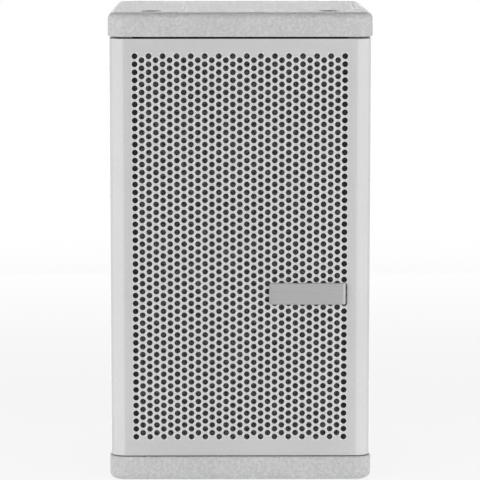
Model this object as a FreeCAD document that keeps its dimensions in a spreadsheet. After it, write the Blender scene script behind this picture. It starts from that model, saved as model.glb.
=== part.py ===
import FreeCAD, Part
import math
import os
import re
import Sketcher

# Compact two-way active loudspeaker, millimetres. The front looks towards -Y, +Z is up and
# the origin is the middle of the underside.

SIZES = {
    # cabinet boards
    "cabinet_width": 164,
    "cabinet_height": 293,
    "cabinet_depth": 180,
    "board": 15,
    "corner_round": 10,
    "edge_round": 4,
    "seam_round": 1,
    "baffle_recess": 22,
    "rear_inset": 3,
    "side_front_inset": 13,
    "flange_clearance": 0.3,
    # perforated grille
    "grille_sheet": 1,
    "grille_inset": 0.7,
    "grille_set_back": 1.4,
    "grille_gap_top": 1.25,
    "grille_gap_bottom": 0.6,
    "grille_return": 42,
    "grille_bend": 9.3,
    "hole_pitch": 10,
    "hole_across": 7,
    "hole_margin": 10.5,
    "foam_sheet": 3,
    "foam_left_margin": 11.3,
    "foam_right_margin": 18.5,
    "badge_width": 48.3,
    "badge_height": 13.4,
    "badge_depth": 2,
    "badge_corner": 1.4,
    "badge_edge": 0.4,
    "badge_end_run": 2.2,
    "badge_end_drop": 0.8,
    "badge_across": 42.15,
    "badge_level": 118.2,
    # screws: head radius, head height, shank radius, shank length
    "grille_screw_head": 3.2,
    "grille_screw_top": 0.6,
    "grille_screw_shank": 1.45,
    "grille_screw_length": 11,
    "grille_screw_back": 12,
    "grille_screw_spread": 105,
    "driver_screw_head": 3.2,
    "driver_screw_top": 2.2,
    "driver_screw_shank": 1.7,
    "driver_screw_length": 14,
    "panel_screw_head": 3.4,
    "panel_screw_top": 2.2,
    "panel_screw_shank": 1.7,
    "panel_screw_length": 14,
    "screw_clearance": 0.4,
    "pilot_clearance": 0.1,
    # threaded inserts
    "insert_bore": 2.5,
    "insert_barrel": 4.6,
    "insert_flange": 6.5,
    "insert_flange_sheet": 1.2,
    "insert_length": 13,
    "insert_clearance": 0.1,
    "rigging_across": 55.5,
    "rigging_inset": 22,
    "bracket_across": 35,
    # woofer, depths counted from the front of the baffle
    "flange_margin": 0.3,
    "flange_flat": 1,
    "flange_side_gap": 3,
    "cutout_clearance": 3,
    "frame_sheet": 1.2,
    "basket_top": 54,
    "basket_foot": 48,
    "ledge_radius": 41,
    "ledge_depth": 24,
    "seat_radius": 31,
    "seat_depth": 42,
    "seat_hole": 18,
    "window_inner": 33,
    "window_outer": 38,
    "window_half": 11,
    "window_count": 6,
    "surround_sheet": 0.8,
    "roll_middle": 51.75,
    "roll_radius": 3.6,
    "surround_inner": 45.5,
    "surround_outer": 58,
    "gasket_inner": 55.8,
    "gasket_sheet": 2,
    "cone_sheet": 0.8,
    "cone_rim": 48.5,
    "cone_neck_depth": 22,
    "cap_radius": 18,
    "cap_rise": 6.5,
    "cap_sheet": 0.7,
    "former_inner": 12.7,
    "former_outer": 12.95,
    "former_lip": 1.5,
    "former_tail": 0.5,
    "coil_outer": 13.35,
    "coil_overhang": 2.5,
    "spider_sheet": 0.5,
    "spider_wave": 1.2,
    "spider_outer": 45.5,
    "top_plate_radius": 36,
    "top_plate_sheet": 5,
    "top_plate_hole": 13.75,
    "magnet_radius": 42.5,
    "magnet_hole": 22,
    "magnet_height": 14,
    "yoke_radius": 38,
    "yoke_sheet": 5,
    "pole_radius": 12.35,
    "yoke_chamfer": 1.5,
    # tweeter, depths counted from the front of the baffle
    "tweeter_flange": 37,
    "tweeter_screw_circle": 31.8,
    "faceplate_sheet": 4,
    "faceplate_chamfer": 1,
    "horn_mouth": 26,
    "horn_throat": 16.2,
    "horn_step": 1.4,
    "dome_seat": 19.5,
    "dome_clearance": 0.2,
    "dome_sheet": 0.5,
    "dome_radius": 12.9,
    "dome_rise": 6,
    "dome_roll": 1.2,
    "dome_coil_inner": 12.5,
    "dome_coil_outer": 12.9,
    "dome_coil_depth": 4.5,
    "dome_plate_radius": 24,
    "dome_plate_sheet": 4,
    "dome_plate_hole": 13.3,
    "dome_magnet_radius": 23.5,
    "dome_magnet_hole": 17,
    "dome_magnet_height": 10,
    "dome_yoke_radius": 22.5,
    "dome_yoke_sheet": 4,
    "dome_pole_radius": 12.1,
    "dome_pole_drop": 0.8,
    # bass reflex tubes
    "port_edge": 2,
    "port_gap": 1.2,
    "port_bore": 13,
    "port_wall": 2,
    "port_flange": 17,
    "port_flange_sheet": 3,
    "port_flare": 2.5,
    "port_length": 70,
    "port_clearance": 0.2,
    # amplifier panel on the back
    "panel_width": 112,
    "panel_height": 176,
    "panel_sheet": 2,
    "panel_corner": 6,
    "panel_level": 113,
    "panel_border": 10,
    "panel_screw_inset": 5,
    "panel_screw_step": 55,
    "gasket_edge": 1,
    # tone and volume controls
    "knob_drop": 25,
    "knob_step": 32,
    "knob_radius": 8,
    "knob_skirt": 9,
    "knob_skirt_height": 2,
    "knob_height": 13,
    "knob_lift": 5,
    "knob_chamfer": 0.8,
    "knob_cap": 2,
    "knob_flute": 0.9,
    "knob_flute_count": 18,
    "shaft_radius": 3,
    "shaft_clearance": 0.08,
    "shaft_tail": 6,
    "pot_radius": 8,
    "pot_height": 9,
    "bushing_radius": 3.8,
    "bushing_height": 4.5,
    "panel_hole_clearance": 0.2,
    # phono sockets
    "phono_across": -24,
    "phono_drop": 33,
    "phono_step": 7,
    "phono_shell": 4.15,
    "phono_bore": 3.5,
    "phono_pin": 1.7,
    "phono_length": 9,
    "phono_pin_depth": 7.5,
    "phono_recess": 1,
    "phono_block": 14,
    # mains switch
    "switch_across": 33,
    "mains_rise": 21,
    "switch_bezel_half_width": 8,
    "switch_bezel_half_height": 11.2,
    "switch_bezel_sheet": 1.8,
    "switch_half_width": 6.4,
    "switch_half_height": 9.4,
    "switch_wall": 0.9,
    "switch_depth": 15,
    "switch_floor": 2,
    "rocker_half_width": 5.1,
    "rocker_half_height": 7.2,
    "rocker_crown": 5.4,
    "rocker_tip": 7,
    "rocker_shoulder": 1.5,
    "rocker_foot": 2.5,
    "rocker_foot_half": 5,
    "rocker_pivot_depth": 3.5,
    "rocker_pin": 1.5,
    "rocker_pin_clearance": 0.1,
    "rocker_tilt": 8,
    # mains inlet
    "inlet_across": -18,
    "inlet_bezel_half_width": 15.5,
    "inlet_bezel_half_height": 12,
    "inlet_bezel_sheet": 2.5,
    "inlet_half_width": 13.6,
    "inlet_half_height": 9.8,
    "inlet_depth": 21,
    "inlet_socket_half_width": 12.1,
    "inlet_socket_half_height": 8.3,
    "inlet_socket_cut": 4.5,
    "inlet_socket_depth": 17,
    "inlet_pin_half_width": 1,
    "inlet_pin_half_height": 2,
    "inlet_pin_across": 7,
    "inlet_pin_low": 2,
    "inlet_pin_high": 2,
    "inlet_pin_recess": 5.5,
    "inlet_tail": 8,
    # amplifier inside
    "board_half_width": 43,
    "board_sheet": 1.6,
    "board_edge": 3,
    "capacitor_radius": 8,
    "capacitor_height": 27,
    "capacitor_across": 26,
    "capacitor_step": 19,
    "capacitor_rise": 13,
    "sink_half_width": 30,
    "sink_height": 24,
    "sink_base": 4,
    "sink_fin": 2,
    "sink_fin_count": 6,
    "sink_gap": 10,
    "sink_depth": 24,
    "core_radius": 33,
    "core_hole": 12,
    "core_height": 30,
    "core_round": 6,
    "core_gap": 3.2,
    "clamp_radius": 20,
    "clamp_sheet": 2,
    "bolt_radius": 2.5,
    "bolt_head": 4.5,
    "bolt_head_height": 3,
    "bolt_socket": 2.3,
    "bolt_tail": 6,
    "nut_corner": 4.6,
    "nut_height": 4,
    "bolt_clearance": 0.2,
}

# Places that several pieces share, as formulas of the sizes above.
FRONT = "(-cabinet_depth / 2)"
BACK = "(cabinet_depth / 2)"
INNER_HALF = "(cabinet_width / 2 - board)"
INNER_HEIGHT = "(cabinet_height - 2 * board)"
BAFFLE_FRONT = "(-cabinet_depth / 2 + baffle_recess)"
REAR_BOARD = "(cabinet_depth / 2 - rear_inset)"
GRILLE_HALF = "(cabinet_width / 2 - grille_inset)"
GRILLE_FRONT = "(-cabinet_depth / 2 + grille_set_back)"
GRILLE_END = "(%s + grille_return)" % GRILLE_FRONT
GRILLE_LOW = "(board + grille_gap_bottom)"
GRILLE_HEIGHT = "(cabinet_height - 2 * board - grille_gap_top - grille_gap_bottom)"
REBATE = "(cabinet_width / 2 - grille_inset - grille_sheet)"
COLUMN_STEP = "(hole_pitch * sqrt(3) / 2)"
HOLE_COLUMNS = "(floor((2 * (%s - grille_bend - hole_margin)) / (2 * %s)) + 1)" % (GRILLE_HALF, COLUMN_STEP)
HOLE_ROWS = "(floor((%s - 2 * hole_margin) / hole_pitch) + 1)" % GRILLE_HEIGHT
GRILLE_SCREW_AT = "(%s - grille_screw_back)" % GRILLE_END
PANEL_FACE = "(cabinet_depth / 2)"
CUTOUT_HALF = "(panel_width / 2 - panel_border)"
CUTOUT_HALF_HEIGHT = "(panel_height / 2 - panel_border)"
BOARD_FACE = "(panel_sheet + pot_height)"
PORT_ACROSS = "(cabinet_width / 2 - board - port_flange - port_edge)"
PORT_LEVEL = "(board + port_flange + port_edge)"
WOOFER_FLANGE = "(surround_outer + 2 * driver_screw_head + 2 * flange_margin)"
WOOFER_REACH = "(%s + port_flange + port_gap)" % WOOFER_FLANGE
WOOFER_LEVEL = "(%s + sqrt(%s ^ 2 - %s ^ 2))" % (PORT_LEVEL, WOOFER_REACH, PORT_ACROSS)
FLANGE_SIDE = "min(%s - flange_flat; %s - flange_side_gap)" % (WOOFER_FLANGE, INNER_HALF)
TWEETER_LEVEL = "((%s + %s + cabinet_height - board) / 2)" % (WOOFER_LEVEL, WOOFER_FLANGE)
WOOFER_SCREW_CIRCLE = "(surround_outer + driver_screw_head + flange_margin)"
KNOB_LEVEL = "(panel_level + panel_height / 2 - knob_drop)"
PHONO_LEVEL = "(%s - phono_drop)" % KNOB_LEVEL
MAINS_LEVEL = "(panel_level - panel_height / 2 + mains_rise)"
BRACKET_LEVEL = "((panel_level + panel_height / 2 + cabinet_height - board) / 2)"
BOARD_LOW = "(%s - phono_block)" % PHONO_LEVEL
BOARD_HIGH = "(%s + pot_radius + board_edge)" % KNOB_LEVEL
CAPACITOR_LEVEL = "(%s + capacitor_rise)" % BOARD_LOW
SINK_LOW = "(%s + capacitor_radius + sink_gap)" % CAPACITOR_LEVEL
CORE_LEVEL = "(%s + inlet_half_height + core_gap + core_radius)" % MAINS_LEVEL
CONE_SLOPE = "((cone_neck_depth + frame_sheet - cone_sheet) / (surround_inner - former_outer))"
FORMER_TOP = "(-cone_neck_depth + former_lip)"
COIL_TOP = "(-seat_depth + coil_overhang)"
MAGNET_TOP = "(-seat_depth - top_plate_sheet)"
COIL_FOOT = "(%s - coil_overhang)" % MAGNET_TOP
YOKE_TOP = "(%s - magnet_height)" % MAGNET_TOP
DOME_YOKE_TOP = "(-dome_plate_sheet - dome_magnet_height)"

UPRIGHT = FreeCAD.Rotation()
FACING_FRONT = FreeCAD.Rotation(FreeCAD.Vector(1, 0, 0), 90)
FACING_BACK = FreeCAD.Rotation(FreeCAD.Vector(1, 0, 0), -90)
FACING_LEFT = FreeCAD.Rotation(FreeCAD.Vector(0, 1, 0), -90)
FACING_RIGHT = FreeCAD.Rotation(FreeCAD.Vector(0, 1, 0), 90)

doc = FreeCAD.newDocument("active_speaker")
sheet = doc.addObject("Spreadsheet::Sheet", "Dims")
for row, (size_name, size_value) in enumerate(SIZES.items(), 1):
    sheet.set("A%d" % row, str(size_value))
    sheet.setAlias("A%d" % row, size_name)
doc.recompute()

nodes = []


def number(formula):
    """Value of a formula of sheet sizes."""
    return float(sheet.evalExpression(formula))


def bind(item, prop, formula):
    """Ties one property of an object to a formula of sheet sizes."""
    def with_sheet(word):
        name = word.group()
        return "Dims." + name if name in SIZES else name
    item.setExpression(prop, re.sub(r"[a-z_]+", with_sheet, formula))


def spot(at):
    """Point at three formulas."""
    return FreeCAD.Vector(number(at[0]), number(at[1]), number(at[2]))


def seat(item, at, turn=UPRIGHT):
    """Puts an object at three formulas, turned as given."""
    item.Placement = FreeCAD.Placement(spot(at), turn)
    for axis, formula in zip("xyz", at):
        bind(item, "Placement.Base." + axis, formula)


def keep(item):
    """Counts an object as one piece of the loudspeaker."""
    nodes.append(item)
    return item


def new_body(name):
    return doc.addObject("PartDesign::Body", name)


def origin_part(body, role):
    return [item for item in body.Origin.OriginFeatures if item.Role == role][0]


def new_sketch(body, plane, lift="0"):
    """Empty sketch on one of the body's own planes, lifted along the plane's normal."""
    sketch = body.newObject("Sketcher::SketchObject", body.Name + "_sketch")
    sketch.AttachmentSupport = [(origin_part(body, plane), "")]
    sketch.MapMode = "FlatFace"
    if lift != "0":
        bind(sketch, "AttachmentOffset.Base.z", lift)
    return sketch


def pin_point(sketch, side, end, corner):
    """Ties one end of a side to two formulas, counted from the sketch origin."""
    for kind, formula, axis in (("DistanceX", corner[0], -2), ("DistanceY", corner[1], -1)):
        value = number(formula)
        if abs(value) < 1e-9:
            sketch.addConstraint(Sketcher.Constraint("PointOnObject", side, end, axis))
        else:
            index = sketch.addConstraint(Sketcher.Constraint(kind, -1, 1, side, end, value))
            bind(sketch, "Constraints[%d]" % index, formula)


def arc_side(start, end, radius, turn):
    """Circular side between two points; turn is 1 to the left and -1 to the right."""
    chord = end.sub(start)
    rise = math.sqrt(max(radius ** 2 - chord.Length ** 2 / 4, 0))
    left = FreeCAD.Vector(-chord.y, chord.x, 0).normalize()
    centre = start.add(chord.multiply(0.5)).add(left.multiply(turn * rise))
    circle = Part.Circle(centre, FreeCAD.Vector(0, 0, 1), radius)
    angles = [math.atan2(point.y - centre.y, point.x - centre.x) for point in (start, end)]
    return Part.ArcOfCircle(circle, *angles[::turn])


def outline(body, plane, corners, lift="0"):
    """Closed sketch through corners (x, y); (x, y, radius, turn) starts a circular side.

    A circular side that ends on the sketch's upright axis has its middle on that axis.
    """
    sketch = new_sketch(body, plane, lift)
    points = [FreeCAD.Vector(number(corner[0]), number(corner[1]), 0) for corner in corners]
    ends = []
    for side, corner in enumerate(corners):
        start = points[side]
        stop = points[(side + 1) % len(points)]
        if len(corner) == 2:
            sketch.addGeometry(Part.LineSegment(start, stop))
            ends.append((1, 2))
        else:
            sketch.addGeometry(arc_side(start, stop, number(corner[2]), corner[3]))
            ends.append((1, 2)[::corner[3]])
    for side, corner in enumerate(corners):
        after = (side + 1) % len(corners)
        sketch.addConstraint(Sketcher.Constraint("Coincident", side, ends[side][1], after, ends[after][0]))
        pin_point(sketch, side, ends[side][0], corner)
        if len(corner) == 4 and "0" in (corner[0], corners[after][0]):
            sketch.addConstraint(Sketcher.Constraint("PointOnObject", side, 3, -2))
        elif len(corner) == 4:
            index = sketch.addConstraint(Sketcher.Constraint("Radius", side, number(corner[2])))
            bind(sketch, "Constraints[%d]" % index, corner[2])
    return sketch


def circles(body, plane, spots, radius, lift="0"):
    """Sketch of equal circles round spots (x, y)."""
    sketch = new_sketch(body, plane, lift)
    for side, centre in enumerate(spots):
        middle = FreeCAD.Vector(number(centre[0]), number(centre[1]), 0)
        sketch.addGeometry(Part.Circle(middle, FreeCAD.Vector(0, 0, 1), number(radius)))
        pin_point(sketch, side, 3, centre)
        index = sketch.addConstraint(Sketcher.Constraint("Radius", side, number(radius)))
        bind(sketch, "Constraints[%d]" % index, radius)
    return sketch


def rectangle(x_half, y_half, x_mid="0", y_mid="0"):
    """Corners of a rectangle round a middle."""
    return [("%s - %s" % (x_mid, x_half), "%s - %s" % (y_mid, y_half)),
            ("%s + %s" % (x_mid, x_half), "%s - %s" % (y_mid, y_half)),
            ("%s + %s" % (x_mid, x_half), "%s + %s" % (y_mid, y_half)),
            ("%s - %s" % (x_mid, x_half), "%s + %s" % (y_mid, y_half))]


def hexagon(radius, x_mid="0", y_mid="0"):
    """Corners of a regular hexagon round a middle, the first on the X side."""
    return [("%s + %s * cos(%d)" % (x_mid, radius, angle), "%s + %s * sin(%d)" % (y_mid, radius, angle))
            for angle in range(0, 360, 60)]


def pad(body, sketch, length, reverse=False):
    feature = body.newObject("PartDesign::Pad", body.Name + "_pad")
    feature.Profile = sketch
    feature.Reversed = reverse
    bind(feature, "Length", length)
    doc.recompute()
    return feature


def pocket(body, sketch, depth="", reverse=False):
    """Cut of a sketch: right through both ways, or to a depth."""
    before = body.Shape.Volume
    feature = body.newObject("PartDesign::Pocket", body.Name + "_pocket")
    feature.Profile = sketch
    feature.Reversed = reverse
    if depth:
        bind(feature, "Length", depth)
    else:
        feature.Type = "ThroughAll"
        feature.SideType = "Symmetric"
    doc.recompute()
    if body.Shape.Volume > before - 1e-3:
        raise RuntimeError("pocket cuts nothing in " + body.Name)
    return feature


def fillet(body, radius, wanted):
    """Rounds the edges of the body's tip that pass a test."""
    base = body.Tip
    names = ["Edge%d" % index for index, edge in enumerate(base.Shape.Edges, 1) if wanted(edge)]
    feature = body.newObject("PartDesign::Fillet", body.Name + "_fillet")
    feature.Base = (base, names)
    bind(feature, "Radius", radius)
    doc.recompute()
    return feature


def near(value, formula):
    return abs(value - number(formula)) < 1e-4


def flat_at(edge, level):
    """True for an edge that lies at one height of its body."""
    return near(edge.BoundBox.ZMin, level) and near(edge.BoundBox.ZMax, level)


def upright(edge):
    """True for a straight edge along the body's Z."""
    box = edge.BoundBox
    return box.XLength < 1e-4 and box.YLength < 1e-4


def turned(name, corners, at, turn):
    """Body of revolution about its own Z from corners (radius, height)."""
    body = new_body(name)
    sketch = outline(body, "XZ_Plane", corners)
    feature = body.newObject("PartDesign::Revolution", name + "_revolution")
    feature.Profile = sketch
    feature.ReferenceAxis = (sketch, ["V_Axis"])
    feature.Angle = 360
    seat(body, at, turn)
    doc.recompute()
    return body


def ring(inner, outer, low, high):
    """Corners of a plain ring section."""
    return [(inner, low), (outer, low), (outer, high), (inner, high)]


def plate(name, corners, length, at, plane="XY_Plane"):
    """Body padded from a closed outline."""
    body = new_body(name)
    pad(body, outline(body, plane, corners), length)
    seat(body, at)
    doc.recompute()
    return body


def screw(name, size):
    """Cross-recessed screw: seat of the head at its origin, shank along -Z."""
    head = size + "_head"
    top = size + "_top"
    shank = size + "_shank"
    length = size + "_length"
    body = turned(name, [("0", "-%s" % length), ("%s * 0.4" % shank, "-%s" % length),
                         (shank, "-%s + 1.5 * %s" % (length, shank)), (shank, "0"), (head, "0"),
                         (head, "%s * 0.5" % top), ("%s * 0.85" % head, top), ("0", top)],
                  ("0", "0", "0"), UPRIGHT)
    arm = "(0.55 * %s)" % head
    half = "(0.13 * %s)" % head
    cross = [("-" + half, "-" + arm), (half, "-" + arm), (half, "-" + half), (arm, "-" + half),
             (arm, half), (half, half), (half, arm), ("-" + half, arm), ("-" + half, half),
             ("-" + arm, half), ("-" + arm, "-" + half), ("-" + half, "-" + half)]
    pocket(body, outline(body, "XY_Plane", cross, top), "%s * 0.6" % top)
    return body


def group(name, pattern, places):
    """Equal pieces that share one node: copies of a pattern at (spot, rotation)."""
    item = doc.addObject("Part::Feature", name)
    copies = []
    for at, turn in places:
        copy = pattern.Shape.copy()
        copy.Placement = FreeCAD.Placement(spot(at), turn)
        copies.append(copy)
    item.Shape = Part.makeCompound(copies)
    return item


def around(circle, count):
    """Formulas of spots on a circle, the first half a step off the X axis."""
    spots = []
    for index in range(count):
        angle = (index + 0.5) * 360 / count
        spots.append(("%s * cos(%g)" % (circle, angle), "%s * sin(%g)" % (circle, angle)))
    return spots


# Cabinet boards

def cap_board(name, level, outer_level, seam_level):
    """Top or bottom board with round corners, a rounded outer edge and a softened seam."""
    body = plate(name, rectangle("cabinet_width / 2", "cabinet_depth / 2"), "board", ("0", "0", level))
    fillet(body, "corner_round", upright)
    fillet(body, "edge_round", lambda edge: flat_at(edge, outer_level))
    fillet(body, "seam_round", lambda edge: flat_at(edge, seam_level))
    return body


def insert_holes(body, plane, spots, face, lift):
    """Stepped holes for flanged inserts, from a face of the board."""
    pocket(body, circles(body, plane, spots, "insert_barrel + insert_clearance"))
    pocket(body, circles(body, plane, spots, "insert_flange + insert_clearance", face), lift)


RIGGING = [(side + "rigging_across", "-(cabinet_depth / 2 - rigging_inset)") for side in ("-", "")]
top_panel = keep(cap_board("top_panel", "cabinet_height - board", "board", "0"))
insert_holes(top_panel, "XY_Plane", RIGGING, "board", "insert_flange_sheet")
bottom_panel = keep(cap_board("bottom_panel", "0", "0", "board"))

GRILLE_SCREW_LEVELS = ["(cabinet_height / 2 - grille_screw_spread)", "(cabinet_height / 2)",
                       "(cabinet_height / 2 + grille_screw_spread)"]


def side_board(name, side):
    """Side board, rebated at the front for the folded edge of the grille."""
    corners = [(INNER_HALF, FRONT + " + side_front_inset"), (REBATE, FRONT + " + side_front_inset"),
               (REBATE, GRILLE_END + " + flange_clearance"),
               ("cabinet_width / 2", GRILLE_END + " + flange_clearance"),
               ("cabinet_width / 2", BACK), (INNER_HALF, BACK)]
    body = plate(name, [("%s(%s)" % (side, x), y) for x, y in corners], INNER_HEIGHT, ("0", "0", "board"))
    outer = "%scabinet_width / 2" % side
    fillet(body, "corner_round", lambda edge: upright(edge) and near(edge.BoundBox.XMin, outer)
           and near(edge.BoundBox.YMax, BACK))
    spots = [(GRILLE_SCREW_AT, level + " - board") for level in GRILLE_SCREW_LEVELS]
    pilots = circles(body, "YZ_Plane", spots, "grille_screw_shank + pilot_clearance", side + REBATE)
    pocket(body, pilots, "grille_screw_length", side == "-")
    return body


keep(side_board("left_side_panel", "-"))
keep(side_board("right_side_panel", ""))

inner_board = [("-" + INNER_HALF, "0"), (INNER_HALF, "0"), (INNER_HALF, INNER_HEIGHT),
               ("-" + INNER_HALF, INNER_HEIGHT)]
baffle = keep(plate("front_baffle", inner_board, "board", ("0", BAFFLE_FRONT + " + board", "board"),
                    "XZ_Plane"))
WOOFER_SPOTS = around(WOOFER_SCREW_CIRCLE, 4)
TWEETER_SPOTS = around("tweeter_screw_circle", 4)
PORT_SPOTS = [(side + PORT_ACROSS, PORT_LEVEL + " - board") for side in ("-", "")]
pocket(baffle, circles(baffle, "XZ_Plane", [("0", WOOFER_LEVEL + " - board")],
                       "basket_top + cutout_clearance"))
pocket(baffle, circles(baffle, "XZ_Plane", [("0", TWEETER_LEVEL + " - board")],
                       "dome_plate_radius + cutout_clearance"))
pocket(baffle, circles(baffle, "XZ_Plane", PORT_SPOTS, "port_bore + port_wall + port_clearance"))
driver_pilots = [(x, "%s + %s - board" % (z, WOOFER_LEVEL)) for x, z in WOOFER_SPOTS]
driver_pilots += [(x, "%s + %s - board" % (z, TWEETER_LEVEL)) for x, z in TWEETER_SPOTS]
pocket(baffle, circles(baffle, "XZ_Plane", driver_pilots, "driver_screw_shank + pilot_clearance"))

rear_panel = keep(plate("rear_panel", inner_board, "board", ("0", REAR_BOARD, "board"), "XZ_Plane"))
pocket(rear_panel, outline(rear_panel, "XZ_Plane",
                           rectangle(CUTOUT_HALF, CUTOUT_HALF_HEIGHT, "0", "panel_level - board")))
BRACKET = [(side + "bracket_across", BRACKET_LEVEL + " - board") for side in ("-", "")]
pocket(rear_panel, circles(rear_panel, "XZ_Plane", BRACKET, "insert_barrel + insert_clearance"))
pocket(rear_panel, circles(rear_panel, "XZ_Plane", BRACKET, "insert_flange + insert_clearance"),
       "insert_flange_sheet", True)
PANEL_SCREWS = [("%s(panel_width / 2 - panel_screw_inset)" % side,
                 "panel_level + %g * panel_screw_step" % step)
                for side in ("-", "") for step in (-1.5, -0.5, 0.5, 1.5)]
pocket(rear_panel, circles(rear_panel, "XZ_Plane", [(x, z + " - board") for x, z in PANEL_SCREWS],
                           "panel_screw_shank + pilot_clearance"))

insert = turned("threaded_insert", [("insert_bore", "-insert_length"), ("insert_barrel", "-insert_length"),
                                    ("insert_barrel", "-insert_flange_sheet"),
                                    ("insert_flange", "-insert_flange_sheet"), ("insert_flange", "0"),
                                    ("insert_bore", "0")], ("0", "0", "0"), UPRIGHT)
keep(group("rigging_inserts", insert, [((x, y, "cabinet_height"), UPRIGHT) for x, y in RIGGING]))
keep(group("bracket_inserts", insert, [((x, REAR_BOARD, z + " + board"), FACING_BACK) for x, z in BRACKET]))

# Perforated grille, folded round the front of the side boards

GRILLE_INNER = "(%s - grille_sheet)" % GRILLE_HALF
GRILLE_BEHIND = "(%s + grille_sheet)" % GRILLE_FRONT
grille = keep(plate("grille", [("-" + GRILLE_HALF, GRILLE_FRONT), (GRILLE_HALF, GRILLE_FRONT),
                               (GRILLE_HALF, GRILLE_END), (GRILLE_INNER, GRILLE_END),
                               (GRILLE_INNER, GRILLE_BEHIND), ("-" + GRILLE_INNER, GRILLE_BEHIND),
                               ("-" + GRILLE_INNER, GRILLE_END), ("-" + GRILLE_HALF, GRILLE_END)],
                    GRILLE_HEIGHT, ("0", "0", GRILLE_LOW)))
fillet(grille, "grille_bend", lambda edge: upright(edge) and near(edge.BoundBox.YMin, GRILLE_FRONT))
fillet(grille, "grille_bend - grille_sheet",
       lambda edge: upright(edge) and near(edge.BoundBox.YMin, GRILLE_BEHIND)
       and near(abs(edge.BoundBox.XMin), GRILLE_INNER))
pocket(grille, circles(grille, "YZ_Plane",
                       [(GRILLE_SCREW_AT, level + " - " + GRILLE_LOW) for level in GRILLE_SCREW_LEVELS],
                       "grille_screw_shank + screw_clearance"))


def perforate(columns, rows):
    """One of the two interleaved sets of six-sided holes, spread over the middle of the sheet."""
    x_mid = "(-(%s - 1) * %s)" % (columns, COLUMN_STEP)
    y_mid = "(%s / 2 - (%s - 1) * hole_pitch / 2)" % (GRILLE_HEIGHT, rows)
    sketch = outline(grille, "XZ_Plane", hexagon("hole_across / sqrt(3)", x_mid, y_mid))
    hole = pocket(grille, sketch)
    pattern = grille.newObject("PartDesign::LinearPattern", "grille_pattern")
    pattern.Originals = [hole]
    pattern.Direction = (sketch, ["H_Axis"])
    pattern.Direction2 = (sketch, ["V_Axis"])
    bind(pattern, "Occurrences", columns)
    bind(pattern, "Occurrences2", rows)
    bind(pattern, "Length", "(%s - 1) * 2 * %s" % (columns, COLUMN_STEP))
    bind(pattern, "Length2", "(%s - 1) * hole_pitch" % rows)
    grille.Tip = pattern
    doc.recompute()


perforate(HOLE_COLUMNS, HOLE_ROWS)
perforate("(%s - 1)" % HOLE_COLUMNS, "(%s - 1)" % HOLE_ROWS)

foam = keep(doc.addObject("Part::Box", "grille_foam"))
bind(foam, "Length", "2 * %s - foam_left_margin - foam_right_margin" % GRILLE_HALF)
bind(foam, "Width", "foam_sheet")
bind(foam, "Height", GRILLE_HEIGHT)
seat(foam, ("-(%s - foam_left_margin)" % GRILLE_HALF, GRILLE_BEHIND, GRILLE_LOW))

BADGE_END = "(badge_width / 2)"
BADGE_FACE = "(badge_width / 2 - badge_end_run)"
badge = keep(plate("badge", [("-" + BADGE_END, "0"), ("-" + BADGE_END, "-badge_depth + badge_end_drop"),
                             ("-" + BADGE_FACE, "-badge_depth"), (BADGE_FACE, "-badge_depth"),
                             (BADGE_END, "-badge_depth + badge_end_drop"), (BADGE_END, "0")], "badge_height",
                   ("badge_across", GRILLE_FRONT, "badge_level - badge_height / 2")))
fillet(badge, "badge_corner", lambda edge: edge.BoundBox.XLength < 1e-4 and edge.BoundBox.ZLength < 1e-4)
fillet(badge, "badge_edge", lambda edge: not upright(edge) and near(edge.BoundBox.YMin, "-badge_depth"))

grille_screw = screw("grille_screw", "grille_screw")
keep(group("grille_screws", grille_screw,
           [((side + GRILLE_HALF, GRILLE_SCREW_AT, level), turn)
            for side, turn in (("-", FACING_LEFT), ("", FACING_RIGHT)) for level in GRILLE_SCREW_LEVELS]))

# Woofer

WOOFER = ("0", BAFFLE_FRONT, WOOFER_LEVEL)
frame = keep(turned("woofer_frame", [
    (WOOFER_FLANGE, "0"), (WOOFER_FLANGE, "frame_sheet"), ("basket_top - frame_sheet", "frame_sheet"),
    ("basket_foot - frame_sheet", "-ledge_depth + frame_sheet"),
    ("ledge_radius - frame_sheet", "-ledge_depth + frame_sheet"),
    ("seat_radius - frame_sheet", "-seat_depth + frame_sheet"), ("seat_hole", "-seat_depth + frame_sheet"),
    ("seat_hole", "-seat_depth"), ("seat_radius", "-seat_depth"), ("ledge_radius", "-ledge_depth"),
    ("basket_foot", "-ledge_depth"), ("basket_top", "0")], WOOFER, FACING_FRONT))
pocket(frame, circles(frame, "XY_Plane", WOOFER_SPOTS, "driver_screw_shank + screw_clearance"))
window = pocket(frame, outline(frame, "XY_Plane", [
    ("window_inner", "-window_half * 0.8"), ("window_outer", "-window_half"), ("window_outer", "window_half"),
    ("window_inner", "window_half * 0.8")]))
windows = frame.newObject("PartDesign::PolarPattern", "woofer_frame_windows")
windows.Originals = [window]
windows.Axis = (origin_part(frame, "Z_Axis"), [""])
windows.Angle = 360
bind(windows, "Occurrences", "window_count")
frame.Tip = windows
for side in ("-", ""):
    pocket(frame, outline(frame, "XY_Plane", [
        (side + FLANGE_SIDE, "-" + WOOFER_FLANGE), (side + WOOFER_FLANGE, "-" + WOOFER_FLANGE),
        (side + WOOFER_FLANGE, WOOFER_FLANGE), (side + FLANGE_SIDE, WOOFER_FLANGE)]))

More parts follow.
